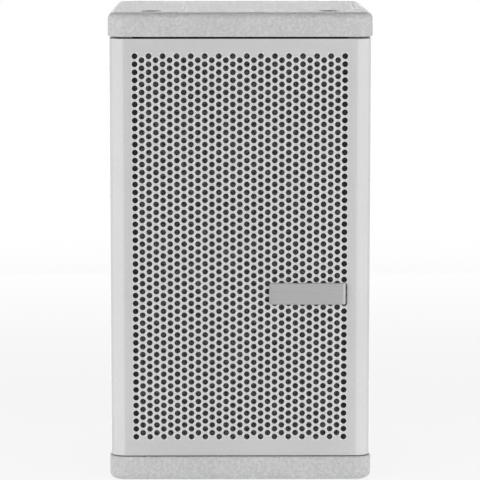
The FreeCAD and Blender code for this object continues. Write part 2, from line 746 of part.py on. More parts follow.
LIP = "(frame_sheet + surround_sheet)"
ROLL_INNER = "(roll_radius - surround_sheet)"
keep(turned("woofer_surround", [
    ("surround_inner", "frame_sheet"), ("roll_middle - " + ROLL_INNER, "frame_sheet"),
    ("roll_middle - " + ROLL_INNER, LIP, ROLL_INNER, -1),
    ("roll_middle", LIP + " + " + ROLL_INNER, ROLL_INNER, -1), ("roll_middle + " + ROLL_INNER, LIP),
    ("roll_middle + " + ROLL_INNER, "frame_sheet"), ("surround_outer", "frame_sheet"),
    ("surround_outer", LIP),
    ("roll_middle + roll_radius", LIP, "roll_radius", 1),
    ("roll_middle", LIP + " + roll_radius", "roll_radius", 1),
    ("roll_middle - roll_radius", LIP), ("surround_inner", LIP)], WOOFER, FACING_FRONT))
keep(turned("woofer_gasket", ring("gasket_inner", "surround_outer", LIP, LIP + " + gasket_sheet"), WOOFER,
            FACING_FRONT))


def cone_face(radius):
    """Height of the front of the cone at a radius."""
    return "(-cone_neck_depth + cone_sheet + (%s - former_outer) * %s)" % (radius, CONE_SLOPE)


keep(turned("woofer_cone", [
    ("former_outer", "-cone_neck_depth"), ("surround_inner", "frame_sheet - cone_sheet"),
    ("cone_rim", "frame_sheet - cone_sheet"), ("cone_rim", "frame_sheet"), ("surround_inner", "frame_sheet"),
    ("former_outer", "-cone_neck_depth + cone_sheet")], WOOFER, FACING_FRONT))
CAP_INNER = "(cap_radius - 1.5 * cap_sheet)"
CAP_TOP = "(%s + cap_rise)" % cone_face("cap_radius")
CAP_INNER_RISE = "(%s - cap_sheet - %s)" % (CAP_TOP, cone_face(CAP_INNER))


def dome_arc(radius, rise):
    """Radius of the sphere whose cap has a given edge radius and rise."""
    return "((%s ^ 2 + %s ^ 2) / (2 * %s))" % (radius, rise, rise)


keep(turned("woofer_dust_cap", [
    (CAP_INNER, cone_face(CAP_INNER)),
    ("cap_radius", cone_face("cap_radius"), dome_arc("cap_radius", "cap_rise"), 1), ("0", CAP_TOP),
    ("0", CAP_TOP + " - cap_sheet", dome_arc(CAP_INNER, CAP_INNER_RISE), -1)], WOOFER, FACING_FRONT))
keep(turned("woofer_coil_former", ring("former_inner", "former_outer", COIL_FOOT + " - former_tail",
                                       FORMER_TOP), WOOFER, FACING_FRONT))
keep(turned("woofer_voice_coil", ring("former_outer", "coil_outer", COIL_FOOT, COIL_TOP), WOOFER,
            FACING_FRONT))

LEDGE = "(-ledge_depth + frame_sheet)"
WAVES = 8
wave_top = []
wave_foot = []
for step in range(WAVES + 1):
    radius = "(former_outer + (ledge_radius - frame_sheet - former_outer) * %g)" % (step / WAVES)
    swing = 0 if step in (0, WAVES) else (-1) ** step
    wave_foot.append((radius, "%s + %d * spider_wave" % (LEDGE, swing)))
    wave_top.insert(0, (radius, "%s + %d * spider_wave + spider_sheet" % (LEDGE, swing)))
spider_rim = [("spider_outer", LEDGE), ("spider_outer", LEDGE + " + spider_sheet")]
keep(turned("woofer_spider", wave_foot + spider_rim + wave_top, WOOFER, FACING_FRONT))

keep(turned("woofer_top_plate", ring("top_plate_hole", "top_plate_radius", MAGNET_TOP, "-seat_depth"), WOOFER,
            FACING_FRONT))
keep(turned("woofer_magnet", ring("magnet_hole", "magnet_radius", YOKE_TOP, MAGNET_TOP), WOOFER,
            FACING_FRONT))
keep(turned("woofer_yoke", [
    ("0", YOKE_TOP + " - yoke_sheet"), ("yoke_radius - yoke_chamfer", YOKE_TOP + " - yoke_sheet"),
    ("yoke_radius", YOKE_TOP + " - yoke_sheet + yoke_chamfer"), ("yoke_radius", YOKE_TOP),
    ("pole_radius", YOKE_TOP), ("pole_radius", "-seat_depth"), ("0", "-seat_depth")], WOOFER, FACING_FRONT))
driver_screw = screw("driver_screw", "driver_screw")
keep(group("woofer_screws", driver_screw,
           [((x, BAFFLE_FRONT + " - frame_sheet", "%s + %s" % (z, WOOFER_LEVEL)), FACING_FRONT)
            for x, z in WOOFER_SPOTS]))

# Tweeter

TWEETER = ("0", BAFFLE_FRONT, TWEETER_LEVEL)
faceplate = keep(turned("tweeter_faceplate", [
    ("dome_seat", "0"), ("tweeter_flange", "0"), ("tweeter_flange", "faceplate_sheet - faceplate_chamfer"),
    ("tweeter_flange - faceplate_chamfer", "faceplate_sheet"), ("horn_mouth", "faceplate_sheet"),
    ("horn_throat", "horn_step"), ("horn_throat", "dome_sheet"), ("dome_seat", "dome_sheet")],
    TWEETER, FACING_FRONT))
pocket(faceplate, circles(faceplate, "XY_Plane", TWEETER_SPOTS, "driver_screw_shank + screw_clearance"))
ROLL_END = "(dome_radius + 2 * dome_roll)"
keep(turned("tweeter_dome", [
    ("dome_coil_inner", "0"), (ROLL_END, "0"), ("dome_seat - dome_clearance", "0"),
    ("dome_seat - dome_clearance", "dome_sheet"), (ROLL_END, "dome_sheet", "dome_roll", 1),
    ("dome_radius + dome_roll", "dome_sheet + dome_roll", "dome_roll", 1),
    ("dome_radius", "dome_sheet", dome_arc("dome_radius", "dome_rise"), 1), ("0", "dome_sheet + dome_rise"),
    ("0", "dome_rise", dome_arc("dome_coil_inner", "dome_rise"), -1)], TWEETER, FACING_FRONT))
keep(turned("tweeter_voice_coil", ring("dome_coil_inner", "dome_coil_outer", "-dome_coil_depth", "0"),
            TWEETER, FACING_FRONT))
keep(turned("tweeter_top_plate", ring("dome_plate_hole", "dome_plate_radius", "-dome_plate_sheet", "0"),
            TWEETER, FACING_FRONT))
keep(turned("tweeter_magnet", ring("dome_magnet_hole", "dome_magnet_radius", DOME_YOKE_TOP,
                                   "-dome_plate_sheet"), TWEETER, FACING_FRONT))
keep(turned("tweeter_yoke", [
    ("0", DOME_YOKE_TOP + " - dome_yoke_sheet"), ("dome_yoke_radius", DOME_YOKE_TOP + " - dome_yoke_sheet"),
    ("dome_yoke_radius", DOME_YOKE_TOP), ("dome_pole_radius", DOME_YOKE_TOP),
    ("dome_pole_radius", "-dome_pole_drop"), ("0", "-dome_pole_drop")], TWEETER, FACING_FRONT))
keep(group("tweeter_screws", driver_screw,
           [((x, BAFFLE_FRONT + " - faceplate_sheet", "%s + %s" % (z, TWEETER_LEVEL)), FACING_FRONT)
            for x, z in TWEETER_SPOTS]))

# Bass reflex tubes

for name, side in (("left_port_tube", "-"), ("right_port_tube", "")):
    keep(turned(name, [
        ("port_bore", "-port_length"), ("port_bore + port_wall", "-port_length"),
        ("port_bore + port_wall", "0"), ("port_flange", "0"), ("port_flange", "port_flange_sheet"),
        ("port_bore + port_flare", "port_flange_sheet"), ("port_bore", "port_flange_sheet - port_flare")],
        (side + PORT_ACROSS, BAFFLE_FRONT, PORT_LEVEL), FACING_FRONT))

# Amplifier panel

panel = keep(plate("amp_panel", rectangle("panel_width / 2", "panel_height / 2"), "panel_sheet",
                   ("0", PANEL_FACE, "panel_level"), "XZ_Plane"))
fillet(panel, "panel_corner", lambda edge: edge.BoundBox.XLength < 1e-4 and edge.BoundBox.ZLength < 1e-4)
CONTROLS = [("volume", "-knob_step"), ("treble", "0"), ("bass", "knob_step")]
PHONO = [("phono_across + %d * phono_step" % x, "%s + %d * phono_step" % (PHONO_LEVEL, z))
         for x, z in ((-1, -1), (-1, 1), (1, -1), (1, 1))]
pocket(panel, circles(panel, "XZ_Plane", [(x, KNOB_LEVEL + " - panel_level") for label, x in CONTROLS],
                      "bushing_radius + panel_hole_clearance"))
pocket(panel, circles(panel, "XZ_Plane", [(x, z + " - panel_level") for x, z in PHONO],
                      "phono_shell + panel_hole_clearance"))
pocket(panel, circles(panel, "XZ_Plane", [(x, z + " - panel_level") for x, z in PANEL_SCREWS],
                      "panel_screw_shank + screw_clearance"))
pocket(panel, circles(panel, "XZ_Plane", [("0", CORE_LEVEL + " - panel_level")],
                      "bolt_radius + bolt_clearance"))
pocket(panel, outline(panel, "XZ_Plane", rectangle(
    "(switch_half_width + panel_hole_clearance)", "(switch_half_height + panel_hole_clearance)",
    "switch_across", MAINS_LEVEL + " - panel_level")))
pocket(panel, outline(panel, "XZ_Plane", rectangle(
    "(inlet_half_width + panel_hole_clearance)", "(inlet_half_height + panel_hole_clearance)",
    "inlet_across", MAINS_LEVEL + " - panel_level")))

gasket_edges = rectangle("(panel_width / 2 - gasket_edge)", "(panel_height / 2 - gasket_edge)")
gasket = keep(plate("amp_gasket", gasket_edges, "rear_inset - panel_sheet",
                    ("0", PANEL_FACE + " - panel_sheet", "panel_level"), "XZ_Plane"))
pocket(gasket, outline(gasket, "XZ_Plane", rectangle(CUTOUT_HALF, CUTOUT_HALF_HEIGHT)))
pocket(gasket, circles(gasket, "XZ_Plane", [(x, z + " - panel_level") for x, z in PANEL_SCREWS],
                       "panel_screw_shank + screw_clearance"))
panel_screw = screw("panel_screw", "panel_screw")
keep(group("amp_panel_screws", panel_screw, [((x, PANEL_FACE, z), FACING_BACK) for x, z in PANEL_SCREWS]))

# Volume and tone controls: fixed bodies on the board, shafts that turn in them, a knob on each shaft

SHAFT_TOP = "(knob_lift + knob_height - knob_cap)"
pot = turned("potentiometer", [
    ("0", "-%s" % BOARD_FACE), ("pot_radius", "-%s" % BOARD_FACE), ("pot_radius", "-panel_sheet"),
    ("bushing_radius", "-panel_sheet"), ("bushing_radius", "bushing_height"),
    ("shaft_radius + shaft_clearance", "bushing_height"),
    ("shaft_radius + shaft_clearance", "-shaft_tail - shaft_clearance"),
    ("0", "-shaft_tail - shaft_clearance")],
    ("0", "0", "0"), UPRIGHT)
keep(group("potentiometers", pot, [((x, PANEL_FACE, KNOB_LEVEL), FACING_BACK) for label, x in CONTROLS]))


def knob(name, at):
    """Fluted knob on a skirt, with a pointer slot in its top."""
    body = turned(name, [
        ("bushing_radius + panel_hole_clearance", "knob_lift"), ("knob_skirt", "knob_lift"),
        ("knob_skirt", "knob_lift + knob_skirt_height"), ("knob_radius", "knob_lift + knob_skirt_height"),
        ("knob_radius", "knob_lift + knob_height - knob_chamfer"),
        ("knob_radius - knob_chamfer", "knob_lift + knob_height"), ("0", "knob_lift + knob_height"),
        ("0", SHAFT_TOP), ("shaft_radius", SHAFT_TOP), ("shaft_radius", "knob_lift + knob_skirt_height"),
        ("bushing_radius + panel_hole_clearance", "knob_lift + knob_skirt_height")], at, FACING_BACK)
    flute = pocket(body, circles(body, "XY_Plane", [("knob_radius + knob_flute / 2", "0")], "knob_flute",
                                 "knob_lift + knob_height"), "knob_height - knob_skirt_height")
    flutes = body.newObject("PartDesign::PolarPattern", name + "_flutes")
    flutes.Originals = [flute]
    flutes.Axis = (origin_part(body, "Z_Axis"), [""])
    flutes.Angle = 360
    bind(flutes, "Occurrences", "knob_flute_count")
    body.Tip = flutes
    doc.recompute()
    pocket(body, outline(body, "XY_Plane", [
        ("-knob_flute / 2", "-knob_radius"), ("knob_flute / 2", "-knob_radius"),
        ("knob_flute / 2", "-knob_radius / 3"), ("-knob_flute / 2", "-knob_radius / 3")],
        "knob_lift + knob_height"), "knob_chamfer")
    return body


for label, across in CONTROLS:
    place = (across, PANEL_FACE, KNOB_LEVEL)
    keep(knob(label + "_knob", place))
    keep(turned(label + "_shaft", [("0", "-shaft_tail"), ("shaft_radius", "-shaft_tail"),
                                   ("shaft_radius", SHAFT_TOP), ("0", SHAFT_TOP)], place, FACING_BACK))

# Phono sockets

phono_shell = turned("phono_shell_pattern", ring("phono_bore", "phono_shell", "-panel_sheet", "phono_length"),
                     ("0", "0", "0"), UPRIGHT)
phono_insert = turned("phono_insert_pattern", [
    ("0", "-panel_sheet"), ("phono_bore", "-panel_sheet"), ("phono_bore", "phono_length - phono_recess"),
    ("phono_pin", "phono_length - phono_recess"),
    ("phono_pin", "phono_length - phono_recess - phono_pin_depth"),
    ("0", "phono_length - phono_recess - phono_pin_depth")], ("0", "0", "0"), UPRIGHT)
keep(group("phono_shells", phono_shell, [((x, PANEL_FACE, z), FACING_BACK) for x, z in PHONO]))
keep(group("phono_inserts_white", phono_insert, [((x, PANEL_FACE, z), FACING_BACK) for x, z in PHONO[:2]]))
keep(group("phono_inserts_red", phono_insert, [((x, PANEL_FACE, z), FACING_BACK) for x, z in PHONO[2:]]))
keep(plate("phono_housing", rectangle("phono_block", "phono_block"), "pot_height",
           ("phono_across", PANEL_FACE + " - panel_sheet", PHONO_LEVEL), "XZ_Plane"))

# Mains switch: a bezel, a box behind it and a rocker on two pins

SWITCH = ("switch_across", PANEL_FACE, MAINS_LEVEL)
CAVITY_HALF = "(switch_half_width - switch_wall)"
CAVITY_HALF_HEIGHT = "(switch_half_height - switch_wall)"
switch = new_body("switch_housing")
pad(switch, outline(switch, "XZ_Plane", rectangle("switch_half_width", "switch_half_height")), "switch_depth")
pad(switch, outline(switch, "XZ_Plane", rectangle("switch_bezel_half_width", "switch_bezel_half_height")),
    "switch_bezel_sheet", True)
pocket(switch, outline(switch, "XZ_Plane", rectangle(CAVITY_HALF, CAVITY_HALF_HEIGHT), "-switch_bezel_sheet"),
       "switch_bezel_sheet + switch_depth - switch_floor", True)
pocket(switch, circles(switch, "YZ_Plane", [("-rocker_pivot_depth", "0")],
                       "rocker_pin + rocker_pin_clearance"))
seat(switch, SWITCH)
keep(switch)

rocker = new_body("power_rocker")
rocker_side = outline(rocker, "YZ_Plane", [
    ("rocker_tip", "-rocker_half_height"), ("rocker_crown", "0"), ("rocker_tip", "rocker_half_height"),
    ("rocker_shoulder", "rocker_half_height"), ("-rocker_foot", "rocker_foot_half"),
    ("-rocker_foot", "-rocker_foot_half"), ("rocker_shoulder", "-rocker_half_height")])
rocker_pad = pad(rocker, rocker_side, "2 * rocker_half_width")
rocker_pad.SideType = "Symmetric"
rocker_pin = pad(rocker, circles(rocker, "YZ_Plane", [("0", "0")], "rocker_pin"), "2 * switch_half_width")
rocker_pin.SideType = "Symmetric"
seat(rocker, ("switch_across", PANEL_FACE + " - rocker_pivot_depth", MAINS_LEVEL),
     FreeCAD.Rotation(FreeCAD.Vector(1, 0, 0), number("rocker_tilt")))
keep(rocker)

# Mains inlet with three blades

INLET = ("inlet_across", PANEL_FACE, MAINS_LEVEL)
inlet = new_body("mains_inlet")
pad(inlet, outline(inlet, "XZ_Plane", rectangle("inlet_half_width", "inlet_half_height")), "inlet_depth")
pad(inlet, outline(inlet, "XZ_Plane", rectangle("inlet_bezel_half_width", "inlet_bezel_half_height")),
    "inlet_bezel_sheet", True)
fillet(inlet, "panel_sheet", lambda edge: edge.BoundBox.XLength < 1e-4 and edge.BoundBox.ZLength < 1e-4
       and near(edge.BoundBox.YMax, "inlet_bezel_sheet"))
SOCKET = [("-inlet_socket_half_width", "-inlet_socket_half_height"),
          ("inlet_socket_half_width", "-inlet_socket_half_height"),
          ("inlet_socket_half_width", "inlet_socket_half_height - inlet_socket_cut"),
          ("inlet_socket_half_width - inlet_socket_cut", "inlet_socket_half_height"),
          ("-inlet_socket_half_width + inlet_socket_cut", "inlet_socket_half_height"),
          ("-inlet_socket_half_width", "inlet_socket_half_height - inlet_socket_cut")]
pocket(inlet, outline(inlet, "XZ_Plane", SOCKET, "-inlet_bezel_sheet"), "inlet_socket_depth", True)
BLADES = [("-inlet_pin_across", "-inlet_pin_low"), ("0", "inlet_pin_high"),
          ("inlet_pin_across", "-inlet_pin_low")]
for x, z in BLADES:
    blade_edges = rectangle("inlet_pin_half_width", "inlet_pin_half_height", x, z)
    pocket(inlet, outline(inlet, "XZ_Plane", blade_edges))
seat(inlet, INLET)
keep(inlet)
blade = plate("inlet_blade", rectangle("inlet_pin_half_width", "inlet_pin_half_height"),
              "inlet_depth + inlet_tail + inlet_bezel_sheet - inlet_pin_recess", ("0", "0", "0"))
BLADE_FOOT = PANEL_FACE + " - inlet_depth - inlet_tail"
keep(group("inlet_pins", blade, [
    (("inlet_across + " + x, BLADE_FOOT, "%s + %s" % (MAINS_LEVEL, z)), FACING_BACK) for x, z in BLADES]))

# Amplifier board and what stands on it, power transformer

circuit = keep(doc.addObject("Part::Box", "amp_board"))
bind(circuit, "Length", "2 * board_half_width")
bind(circuit, "Width", "board_sheet")
bind(circuit, "Height", "%s - %s" % (BOARD_HIGH, BOARD_LOW))
seat(circuit, ("-board_half_width", PANEL_FACE + " - %s - board_sheet" % BOARD_FACE, BOARD_LOW))
BOARD_BACK = "(%s - %s - board_sheet)" % (PANEL_FACE, BOARD_FACE)
can = turned("capacitor_pattern", [
    ("0", "0"), ("capacitor_radius", "0"), ("capacitor_radius", "capacitor_height - 1"),
    ("capacitor_radius - 1", "capacitor_height"), ("0", "capacitor_height")], ("0", "0", "0"), UPRIGHT)
keep(group("filter_capacitors", can, [
    (("capacitor_across", BOARD_BACK, CAPACITOR_LEVEL), FACING_FRONT),
    (("capacitor_across - capacitor_step", BOARD_BACK, CAPACITOR_LEVEL), FACING_FRONT)]))

sink = keep(new_body("heatsink"))
pad(sink, outline(sink, "XZ_Plane", rectangle("sink_half_width", "sink_height / 2", "0", "sink_height / 2")),
    "sink_depth")
FIN_STEP = "((2 * sink_half_width - sink_fin) / sink_fin_count)"
slot = pocket(sink, outline(sink, "XY_Plane", [
    ("-sink_half_width + sink_fin", "-sink_depth"), ("-sink_half_width + " + FIN_STEP, "-sink_depth"),
    ("-sink_half_width + " + FIN_STEP, "-sink_base"), ("-sink_half_width + sink_fin", "-sink_base")]))
slots = sink.newObject("PartDesign::LinearPattern", "heatsink_slots")
slots.Originals = [slot]
slots.Direction = (origin_part(sink, "X_Axis"), [""])
bind(slots, "Occurrences", "sink_fin_count")
bind(slots, "Length", "(sink_fin_count - 1) * " + FIN_STEP)
sink.Tip = slots
seat(sink, ("0", BOARD_BACK, SINK_LOW))

CORE_BACK = "(%s - panel_sheet)" % PANEL_FACE
CORE = ("0", CORE_BACK, CORE_LEVEL)
keep(turned("power_transformer", [
    ("core_hole", "core_round / 2", "core_round / 2", 1), ("core_hole + core_round / 2", "0"),
    ("core_radius - core_round", "0", "core_round", 1), ("core_radius", "core_round"),
    ("core_radius", "core_height - core_round", "core_round", 1), ("core_radius - core_round", "core_height"),
    ("core_hole + core_round / 2", "core_height", "core_round / 2", 1),
    ("core_hole", "core_height - core_round / 2")], CORE, FACING_FRONT))
keep(turned("transformer_clamp", ring("bolt_radius + bolt_clearance", "clamp_radius", "core_height",
                                      "core_height + clamp_sheet"), CORE, FACING_FRONT))
BOLT_END = "(core_height + clamp_sheet)"
bolt = keep(turned("transformer_bolt", [
    ("0", "-panel_sheet - bolt_head_height"), ("bolt_head", "-panel_sheet - bolt_head_height"),
    ("bolt_head", "-panel_sheet"), ("bolt_radius", "-panel_sheet"),
    ("bolt_radius", BOLT_END + " + bolt_tail"), ("0", BOLT_END + " + bolt_tail")], CORE, FACING_FRONT))
pocket(bolt, outline(bolt, "XY_Plane", hexagon("bolt_socket"), "-panel_sheet - bolt_head_height"),
       "bolt_head_height * 0.6", True)
nut = keep(new_body("transformer_nut"))
pad(nut, outline(nut, "XY_Plane", hexagon("nut_corner")), "nut_height")
pocket(nut, circles(nut, "XY_Plane", [("0", "0")], "bolt_radius"))
seat(nut, ("0", "%s - %s" % (CORE_BACK, BOLT_END), CORE_LEVEL), FACING_FRONT)

doc.recompute()
for item in doc.Objects:
    if "Invalid" in item.State or "Error" in item.State:
        raise RuntimeError("broken object " + item.Name)
os.makedirs("parts", exist_ok=True)
for item in nodes:
    if item.Shape.isNull() or not item.Shape.isValid() or item.Shape.Volume <= 0:
        raise RuntimeError("bad shape " + item.Label)
    item.Shape.exportStep("parts/%s.step" % item.Label)
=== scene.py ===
"""Looks of a compact active loudspeaker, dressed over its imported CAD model, in metres.

The front looks towards -Y, +Z is up and the origin is the middle of the underside. Four pieces are worked
out here: the grille with all its round holes, the foam behind it, and the woofer's two flexing rings. Every
other piece is a CAD node. Each material is a recipe of noises and masks on the object's own coordinates.
"""

import math

import bpy
import numpy as np
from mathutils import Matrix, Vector


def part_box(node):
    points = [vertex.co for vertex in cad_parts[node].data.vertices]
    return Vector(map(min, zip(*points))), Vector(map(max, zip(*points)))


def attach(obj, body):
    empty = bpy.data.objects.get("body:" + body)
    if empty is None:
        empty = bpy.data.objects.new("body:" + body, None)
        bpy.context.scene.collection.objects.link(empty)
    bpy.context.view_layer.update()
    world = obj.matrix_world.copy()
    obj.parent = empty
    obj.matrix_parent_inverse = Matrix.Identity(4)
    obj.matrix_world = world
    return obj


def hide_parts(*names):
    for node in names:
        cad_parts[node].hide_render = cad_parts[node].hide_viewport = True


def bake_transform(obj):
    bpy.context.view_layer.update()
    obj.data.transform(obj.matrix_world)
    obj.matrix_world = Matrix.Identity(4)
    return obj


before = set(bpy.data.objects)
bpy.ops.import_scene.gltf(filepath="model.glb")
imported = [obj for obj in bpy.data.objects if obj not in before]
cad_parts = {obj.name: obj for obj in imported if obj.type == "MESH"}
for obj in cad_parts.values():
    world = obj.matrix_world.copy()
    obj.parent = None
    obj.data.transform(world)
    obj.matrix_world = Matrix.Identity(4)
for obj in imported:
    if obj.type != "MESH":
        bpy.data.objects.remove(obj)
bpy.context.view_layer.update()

MILLIMETRE = 0.001

# Angle past which the shading of a smooth piece breaks at an edge
SHARP_ANGLE = math.radians(60)

# Perforated grille: one folded sheet with round holes in staggered columns
GRILLE_SHEET = 1.0 * MILLIMETRE
GRILLE_BEND = 9.3 * MILLIMETRE
BEND_STEPS = 12
ROW_STEP = 4.97 * MILLIMETRE
COLUMN_STEP = 4.33 * MILLIMETRE
HOLE_RADIUS = 1.83 * MILLIMETRE
HOLE_ROLL = 0.3 * MILLIMETRE
HOLE_DIP = 0.2 * MILLIMETRE
HOLE_COLUMNS = 31
HOLE_ROWS = 49
FIELD_ASIDE = -0.3 * MILLIMETRE
FIELD_LIFT = 0.65 * MILLIMETRE
# Share of the painted highlight round each hole that reaches down its lip
LIP_HIGHLIGHT_SHARE = 0.3

# Edges of a hole's cell and of a half cell, counter-clockwise, in quarters of the column step and pitch
CELL_EDGE = np.array([
    (2, 0), (2, 1), (2, 2), (1, 2), (0, 2), (-1, 2), (-2, 2), (-2, 1),
    (-2, 0), (-2, -1), (-2, -2), (-1, -2), (0, -2), (1, -2), (2, -2), (2, -1),
])
HALF_CELL_EDGE = np.array([
    (-2, 0), (-1, 0), (0, 0), (1, 0), (2, 0), (2, 1),
    (2, 2), (1, 2), (0, 2), (-1, 2), (-2, 2), (-2, 1),
])

# Foam behind the grille, with painted shade darkening it along its edges
FOAM_PALE_HALF = 61.8 * MILLIMETRE
FOAM_SHADED_HALF = 63.4 * MILLIMETRE
FOAM_EDGE_STEPS = 8

# Woofer's two sprung rings, which flex between its frame and its cone
RING_SIDES = 96
SURROUND_INNER = 45.5 * MILLIMETRE
SURROUND_SHEET = 0.8 * MILLIMETRE
SURROUND_ARC_STEPS = 16
SPIDER_INNER = 12.95 * MILLIMETRE
SPIDER_MOVING = 18.0 * MILLIMETRE
SPIDER_LEDGE = 39.8 * MILLIMETRE
SPIDER_SHEET = 0.5 * MILLIMETRE
SPIDER_FOLDS = 8
SPIDER_FOLD_STEPS = 6

# Grain of the paint's glossy specks and of the badge's hair lines, to the metre along X, Y and Z
GLINT_GRAIN = (700, 300, 700)
HAIR_GRAIN = (60, 4000, 4000)

# Badge: painted shade as a black line at its right-hand end and as a darker facet at its left one, with their
# soft edges
BADGE_SHADE_LINE = 0.85 * MILLIMETRE
BADGE_SHADE_LINE_SOFT = 0.1 * MILLIMETRE
BADGE_SHADED_FACET = 2.15 * MILLIMETRE
BADGE_SHADED_FACET_SOFT = 0.15 * MILLIMETRE

# Amplifier panel: printed scales round the knobs, pointers on the knobs and signs on the rocker
KNOBS = ("volume_knob", "treble_knob", "bass_knob")
PRINT_SOFT = 0.05 * MILLIMETRE
SCALE_INNER = 10.4 * MILLIMETRE
SCALE_OUTER = 12.6 * MILLIMETRE
SCALE_END_SOFT = 0.1 * MILLIMETRE
SCALE_LINE_HALF = 0.27 * MILLIMETRE
SCALE_HALF_SWEEP = math.radians(150)
SCALE_MARKS = 11
POINTER_HALF = 0.5 * MILLIMETRE
POINTER_RISE = 0.62
POINTER_REACH = 0.34
POINTER_DEPTHS = (1.2 * MILLIMETRE, 1.0 * MILLIMETRE)
SIGN_RISE = 4.0 * MILLIMETRE
SIGN_RING = 1.35 * MILLIMETRE
SIGN_RING_HALF = 0.28 * MILLIMETRE
SIGN_LINE_HALF = 0.3 * MILLIMETRE
SIGN_LINE_REACH = 1.5 * MILLIMETRE
SIGN_DEPTHS = (6.0 * MILLIMETRE, 5.5 * MILLIMETRE)

# Floor: how white it looks by the object, where it turns plain, and the light that it throws back up
FLOOR_HALF = 30.0
FLOOR_NEAR_WHITE = 0.8
FLOOR_PLAIN_FROM = 0.3
FLOOR_PLAIN_PAST = 1.2
FLOOR_FILL = 0.75
FLOOR_FILL_WITHIN = 0.2
FLOOR_FILL_ENDS = 0.5

# World: its dim level, and how far back and how low its white part lies on the unit sphere
WORLD_DIM = 0.28
WORLD_BACK_FROM = -0.1
WORLD_BACK_PAST = 0.4
WORLD_LOW_BELOW = 0.3
WORLD_LOW_ENDS = 0.8

# Softboxes round the object; those on each hand by name, degrees from the front, width and power
BOX_DISTANCE = 0.85
BOX_LEVEL = 0.1
BOX_HEIGHT = 1.1
HAND_BOXES = (("front", 34.0, 0.687, 4.1), ("side", 76.0, 0.62, 3.3))
BACK_BOX_WIDTH = 1.2
BACK_BOX_POWER = 4.0

# Camera, fitted to the photograph's outline
SENSOR = 36.0
FRAME_PIXELS = 480
FOCAL_PIXELS = 2760.0
CAMERA_PLACE = (-0.01196, -1.790, 0.3689)
CAMERA_DOWN = 0.12685
CAMERA_ASIDE = 0.0069
CAMERA_SIGHT = 100.0


def grey(level):
    """Linear value of a grey written as 0 to 255, by the usual display curve."""
    share = level / 255
    return share / 12.92 if share <= 0.04045 else ((share + 0.055) / 1.055) ** 2.4


def tint(red, green, blue):
    """Linear colour with full alpha from display values 0 to 255."""
    return (grey(red), grey(green), grey(blue), 1.0)


class Wire:
    """A shader socket in Python arithmetic: an operator on wires and numbers adds one Math node."""

    def __init__(self, tree, socket=None):
        self.tree = tree
        self.socket = socket

    def node(self, kind, settings=None, feeds=None, out=0):
        """Adds any node: its settings first, then values or wires into its sockets; gives one output."""
        made = self.tree.nodes.new(kind)
        for name, value in (settings or {}).items():
            setattr(made, name, value)
        for name, value in (feeds or {}).items():
            if isinstance(value, Wire):
                self.tree.links.new(value.socket, made.inputs[name])
            else:
                made.inputs[name].default_value = value
        return Wire(self.tree, made.outputs[out] if made.outputs else None)

    def math(self, operation, *values):
        """One Math node on this wire and the values after it."""
        return self.node("ShaderNodeMath", {"operation": operation}, dict(enumerate((self,) + values)))

    def __add__(self, other):
        return self.math("ADD", other)

    def __radd__(self, other):
        return self.math("ADD", other)

    def __sub__(self, other):
        return self.math("SUBTRACT", other)

    def __rsub__(self, other):
        return self.node("ShaderNodeMath", {"operation": "SUBTRACT"}, {0: other, 1: self})

    def __mul__(self, other):
        return self.math("MULTIPLY", other)

    def __rmul__(self, other):
        return self.math("MULTIPLY", other)

    def __abs__(self):
        return self.math("ABSOLUTE")

    def ease(self, low, high):
        """Smooth step: 0 below low, 1 above high; the other way round where low is the larger."""
        first, last = sorted((low, high))
        step = self.node(
            "ShaderNodeMapRange",
            {"interpolation_type": "SMOOTHSTEP"},
            {"Value": self, "From Min": first, "From Max": last},
        )
        return step if low < high else 1.0 - step

    def blend(self, dark, light):
        """Colour that goes from dark to light as this value goes from 0 to 1."""
        return self.node(
            "ShaderNodeMix",
            {"data_type": "RGBA", "clamp_factor": True},
            {0: self, 6: dark, 7: light},
            out=2,
        )


class Spot:
    """Object coordinates of a surface, with the noises and masks that the finishes are made of."""

    def __init__(self, tree):
        self.place = Wire(tree).node("ShaderNodeTexCoord", out="Object")

    def axes(self):
        """The three coordinates as separate values, in metres."""
        return [self.place.node("ShaderNodeSeparateXYZ", None, {0: self.place}, out=i) for i in range(3)]

    def stretched(self, grain):
        """Object coordinates multiplied along each axis, for grain that runs one way."""
        return self.place.node("ShaderNodeVectorMath", {"operation": "MULTIPLY"}, {0: self.place, 1: grain})

    def noise(self, size, detail=2.0, rough=0.5, place=None):
        """Fractal noise from 0 to 1 whose blobs are about size metres across."""
        feeds = {"Vector": place or self.place, "Scale": 1 / size, "Detail": detail, "Roughness": rough}
        return self.place.node("ShaderNodeTexNoise", None, feeds)

    def cells(self, size):
        """Distance to the nearest of scattered points about size metres apart, in cell widths."""
        return self.place.node("ShaderNodeTexVoronoi", None, {"Vector": self.place, "Scale": 1 / size})

    def bump(self, height, distance, strength=1.0):
        """Normal tilted by a height field of that depth in metres."""
        feeds = {"Height": height, "Distance": distance, "Strength": strength}
        return self.place.node("ShaderNodeBump", None, feeds)


def fresh_tree(holder):
    """Empty node tree of a new material or world."""
    holder.use_nodes = True
    holder.node_tree.nodes.clear()
    return holder.node_tree


def finish(name, recipe, **fixed):
    """Material with one Principled shader: fixed socket values, then the varying sockets of the recipe."""
    material = bpy.data.materials.new(name)
    spot = Spot(fresh_tree(material))
    feeds = {socket.replace("_", " "): value for socket, value in fixed.items()}
    feeds.update(recipe(spot))
    shader = spot.place.node("ShaderNodeBsdfPrincipled", None, feeds)
    spot.place.node("ShaderNodeOutputMaterial", None, {"Surface": shader})
    return material


def within(value, middle, half):
    """Mask of a printed stripe: 1 within half of the middle, with a soft edge."""
    return abs(value - middle).ease(half + PRINT_SOFT, half - PRINT_SOFT)


def speckled(dark, light, size, relief, rough, detail=2.5):
    """Recipe for a plain material: two close tones in a noise of one size, with a little relief."""
    def recipe(spot):
        grain = spot.noise(size, detail, 0.55)
        return {
            "Base Color": grain.ease(0.25, 0.75).blend(dark, light),
            "Roughness": rough + grain * 0.1,
            "Normal": spot.bump(grain, relief, 0.7),
        }
    return recipe


